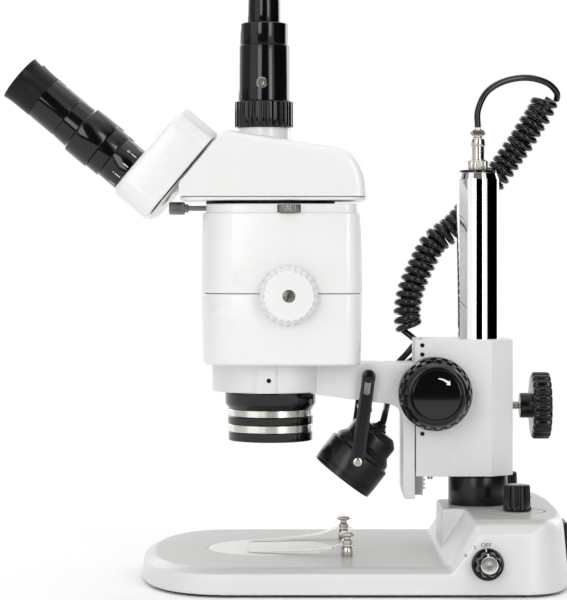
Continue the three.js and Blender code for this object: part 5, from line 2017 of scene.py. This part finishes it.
@dataclass
class Binocular:
    """Two prism boxes with their dioptre rings, eyepieces and eyecups.

    Attributes:
        spacing: from the middle to each eyepiece.
        depth: a prism box's depth.
    """

    spacing: float = 32.0
    depth: float = 32.0

    def build(self) -> None:
        """Makes both sides."""
        for side in Side:
            self._prism_box(side)
            self._dioptre_ring(side)
            self._eyepiece(side)

    def _prism_box(self, side: Side) -> None:
        """A rounded white box, with a flat face and a softly broken edge."""
        s = side.value
        circles = [(34, s * 31, 29.2), (0, s * self.spacing, 20.4), (44, s * 45, 15.4),
                   (-5, s * 45.4, 14.8)]
        levels = []
        for z, edge in ((-self.depth, 1.2), (-self.depth + 0.3, 0.5), (-self.depth + 1, 0.0),
                        (-5, 0.0), (-3.2, 0.35), (-1.8, 1.0), (-0.8, 2.0), (-0.2, 3.2),
                        (0, 4.4)):
            levels.append((z, evened(hull(circles, edge, 96), 260)))
        add_piece(f"prism_case_{side.word}", loft(levels), eye_spot(), WHITE_ENAMEL,
                  Mount(f"prism_{side.word}", "white_gloss", (f"prism_box_{side.word}",)),
                  crease=30)

    def _dioptre_ring(self, side: Side) -> None:
        """The graduated ring, with its marks."""
        place = eye_spot(side.value * self.spacing)
        ring = [(13.4, 0.3), (17.1, 0.3), (17.5, 0.7), (17.5, 16.4), (17.2, 16.9), (13.4, 17)]
        body = f"dioptre_{side.word}"
        add_piece(f"dioptre_sleeve_{side.word}", lathe(ring, 120, ring=True), place,
                  BLACK_LACQUER, Mount(body, "black_satin", (f"dioptre_ring_{side.word}",)))
        marks = [self._tick(360 * i / 11 - 54) for i in range(11)]
        marks.append(self._around(lettering("0", 2.6, 0.14), -54, 9.3))
        marks.append(self._around(rod(0.45, -0.05, 0.1, 16), -54 - 720 / 11, 8.6))
        add_piece(f"dioptre_marks_{side.word}", marks[0].plus(*marks[1:]), place, WHITE_INK,
                  Mount(body, "white_gloss"))

    def _tick(self, angle: float) -> Shape:
        """One graduation line, at an angle round the ring."""
        return self._around(block((-0.32, 0.32), (-2.45, 2.45), (-0.05, 0.1)), angle, 4.6)

    @staticmethod
    def _around(flat: Shape, angle: float, along: float) -> Shape:
        """Lays a small flat mark on the ring's wall, at an angle and a height."""
        return flat.turned("Z", 90).turned("Y", 90).moved(17.5, 0, along).turned("Z", angle)

    def _eyepiece(self, side: Side) -> None:
        """Barrel, collars, eyecup and eye lens."""
        place = eye_spot(side.value * self.spacing)
        body = f"eyepiece_{side.word}"
        barrel = [(0, 3), (12.9, 3), (12.9, 17.3), (17.9, 17.3), (18.4, 17.7), (18.5, 18.2),
                  (18.5, 27.6), (18.2, 28.1), (18.7, 28.3), (19.3, 28.6), (19.5, 29.2),
                  (19.5, 47.4), (19.3, 48.2), (18.7, 48.7), (17.9, 49.0), (17.5, 49.6),
                  (16.9, 61.3), (16.6, 61.7), (16.6, 62.0), (16.95, 62.3), (17, 62.8),
                  (17, 85.5), (11.5, 85.5), (11.2, 83.4), (0, 83.4)]
        add_piece(f"eyepiece_barrel_{side.word}", lathe(barrel, 128), place, BLACK_LACQUER,
                  Mount(body, "black_satin", (f"eyepiece_{side.word}",)), crease=28)
        cup = [(11.3, 85.8), (17.1, 85.8), (17.15, 86.6), (17.2, 96), (17.35, 102),
               (17.75, 106.2), (18.15, 108.1), (18.1, 108.5), (17.7, 108.7), (17.0, 108.5),
               (16.2, 106.6), (15.2, 101), (13.8, 95), (12.0, 89.5), (11.3, 87)]
        add_piece(f"eyecup_sleeve_{side.word}", lathe(cup, 128, ring=True), place, SOFT_RUBBER,
                  Mount(body, "rubber", (f"eyecup_{side.word}",)), crease=50)
        lens = [(0, 83.5), (11, 83.5), (11, 84.6), (8, 85.5), (4, 86.0), (0, 86.2)]
        add_piece(f"eye_lens_{side.word}", lathe(lens, 96), place, LENS_GLASS,
                  Mount(body, "glass"))


# ---- lamp


@dataclass
class Lamp:
    """The swinging lamp: a fork, a black housing, its bezel, reflector, bulb and glass.

    Attributes:
        tilt: how far its axis leans back.
        x: the face centre's X.
        z: the face centre's height.
        pivot_up: from the face to the pivot, along the axis.
        fork_x: the fork pivot's X.
        fork_z: its height.
    """

    tilt: float = 37.7
    x: float = 54.1
    z: float = 74.2
    pivot_up: float = 18.4
    fork_x: float = FORK_PIVOT[0]
    fork_z: float = FORK_PIVOT[1]

    @property
    def pivot(self) -> Pair:
        """The tilting pivot's (X, Z)."""
        lean = math.radians(self.tilt)
        return self.x + self.pivot_up * math.sin(lean), self.z + self.pivot_up * math.cos(lean)

    def build(self) -> None:
        """Makes the fork and the lamp."""
        add_piece("lamp_fork_bar", self._fork(), HOME, BLACK_SATIN,
                  Mount("lamp_fork", "black_satin", ("lamp_fork",)), crease=28)
        place = spot(self.x, 0, self.z, tilt_y=self.tilt)
        shell = [(0, 35), (17, 35), (22.9, 27), (22.9, 2.6), (21.3, 2.6), (21.3, 0.6),
                 (21.8, 0.1), (24.4, 0), (24.9, 0.3), (25.0, 3.2), (25.35, 3.6), (25.35, 4.6),
                 (24.95, 4.9), (24.95, 5.6), (25.3, 5.9), (25.35, 6.4), (25.35, 22.2),
                 (25.0, 23.0), (24.2, 23.5), (22.6, 24.2), (21.1, 25.4), (20.1, 27.2),
                 (19.4, 29.6), (19.15, 31.6), (19.15, 40.6), (18.7, 41.7), (15.2, 45.2),
                 (14.2, 46.0), (13.6, 46.1), (0, 46.1)]
        bores = crosswise(2.2, 40, 0, self.pivot_up)
        add_piece("lamp_case", lathe(shell, 144).cut(bores), place, BLACK_SATIN,
                  Mount("lamp", "black_satin", ("lamp_housing",)), crease=26)
        glass = [(0, 2.9), (22.3, 2.9), (22.5, 3.1), (22.5, 4.5), (22.3, 4.7), (0, 4.7)]
        add_piece("lamp_front_glass", lathe(glass, 96), place, LAMP_GLASS,
                  Mount("lamp", "glass", ("lamp_glass",)))
        dish = [(0, 26), (5, 24.4), (9, 21.9), (13, 17.9), (16.5, 12.9), (19, 8), (20.4, 5),
                (21.4, 5), (19.9, 11), (17.2, 17), (13.6, 21.9), (9, 25.9), (7.4, 27.4),
                (7.4, 34.4), (0, 34.4)]
        bulb = [(0, 9.2), (1.6, 9.4), (3, 10.2), (3.8, 11.6), (4, 13), (4, 20.8), (3.4, 23),
                (2.2, 25.8), (0, 25.8)]
        add_piece("lamp_reflector", lathe(dish, 96), place, BRIGHT_BAND,
                  Mount("lamp", "reflector", ("lamp_bulb",)))
        add_piece("lamp_capsule", lathe(bulb, 48), place, LAMP_GLASS, Mount("lamp", "glass"))
        self._gland(place)
        self._pivot_screws()

    def _fork(self) -> Shape:
        """Two slotted cheeks outside the arm, joined by a bridge under it."""
        foot = self.pivot
        cheek = hull([(self.fork_x, self.fork_z, 5), (*foot, 5)], 0, 48)
        along = Vector((foot[0] - self.fork_x, foot[1] - self.fork_z)).normalized()
        ends = [(self.fork_x + along.x * d, self.fork_z + along.y * d, 2.3) for d in (0, 12.2)]
        slot = hull(ends, 0, 32)
        whole = block((66.5, 76), (-33.9, 33.9), (126.2, 128.8))
        for low in (-34.2, 31.2):
            plate = upright(slab(cheek, low, low + 3, 0.4))
            whole = whole.joined(plate.cut(upright(loft([(low - 1, slot), (low + 4, slot)]))))
        return whole.cut(crosswise(2.2, 50, *foot))

    def _gland(self, place: Matrix) -> None:
        """The strain relief at the back."""
        stem = [(0, 46.3), (6.4, 46.3), (6.4, 47.6), (5.4, 48.1), (4.9, 48.3), (4.7, 49.0),
                (4.0, 49.4), (3.7, 51.1), (3.4, 51.4), (0, 51.4)]
        add_piece("lamp_strain_relief", lathe(stem, 64), place, BLACK_MOULDED,
                  Mount("lamp", "black_satin", ("lamp_gland",)))

    def _pivot_screws(self) -> None:
        """A bright screw with a hexagon socket at each pivot."""
        x, z = self.pivot
        head = lathe([(0, -10), (1.8, -10), (1.8, 0.3), (3.5, 0.3), (3.5, 1.3), (3.2, 1.9),
                      (2.5, 2.25), (0, 2.3)], 64)
        head = head.cut(slab(arc(0, 0, 1.7, 0, 300, 5), 1.0, 4))
        for side in Side:
            place = facing(side, x, 34.2, z)
            add_piece(f"lamp_pivot_screw_{side.word}", head, place, NICKEL,
                      Mount("lamp", "steel", (f"lamp_screw_{side.word}",)))


def dress(node: str, finish: Finish) -> None:
    """Gives a CAD node that stays in view its finish."""
    materials = frame["nodes"][node].data.materials
    materials.clear()
    materials.append(finish.material())
    LOG.info("%-28s dressed in %s", node, finish.name)


ASSEMBLIES = (Studio(), CurlyCord(), Base(), ModeSwitch(), BrightnessKnobs(), StageClips(),
              Pillar(), StopCollar(), FocusBlock(), ClampScrew(), FocusDrive(), Arm(),
              ZoomBody(), ZoomSpindle(), BodyControls(), Head(), PhotoPort(), Binocular(),
              Lamp())


# ---- main


def main() -> None:
    """Builds the microscope, piece by piece."""
    logging.basicConfig(level=logging.INFO, format="%(message)s")
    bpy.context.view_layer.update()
    for assembly in ASSEMBLIES:
        LOG.info("-- %s", type(assembly).__name__)
        assembly.build()


if __name__ == "__main__":
    main()
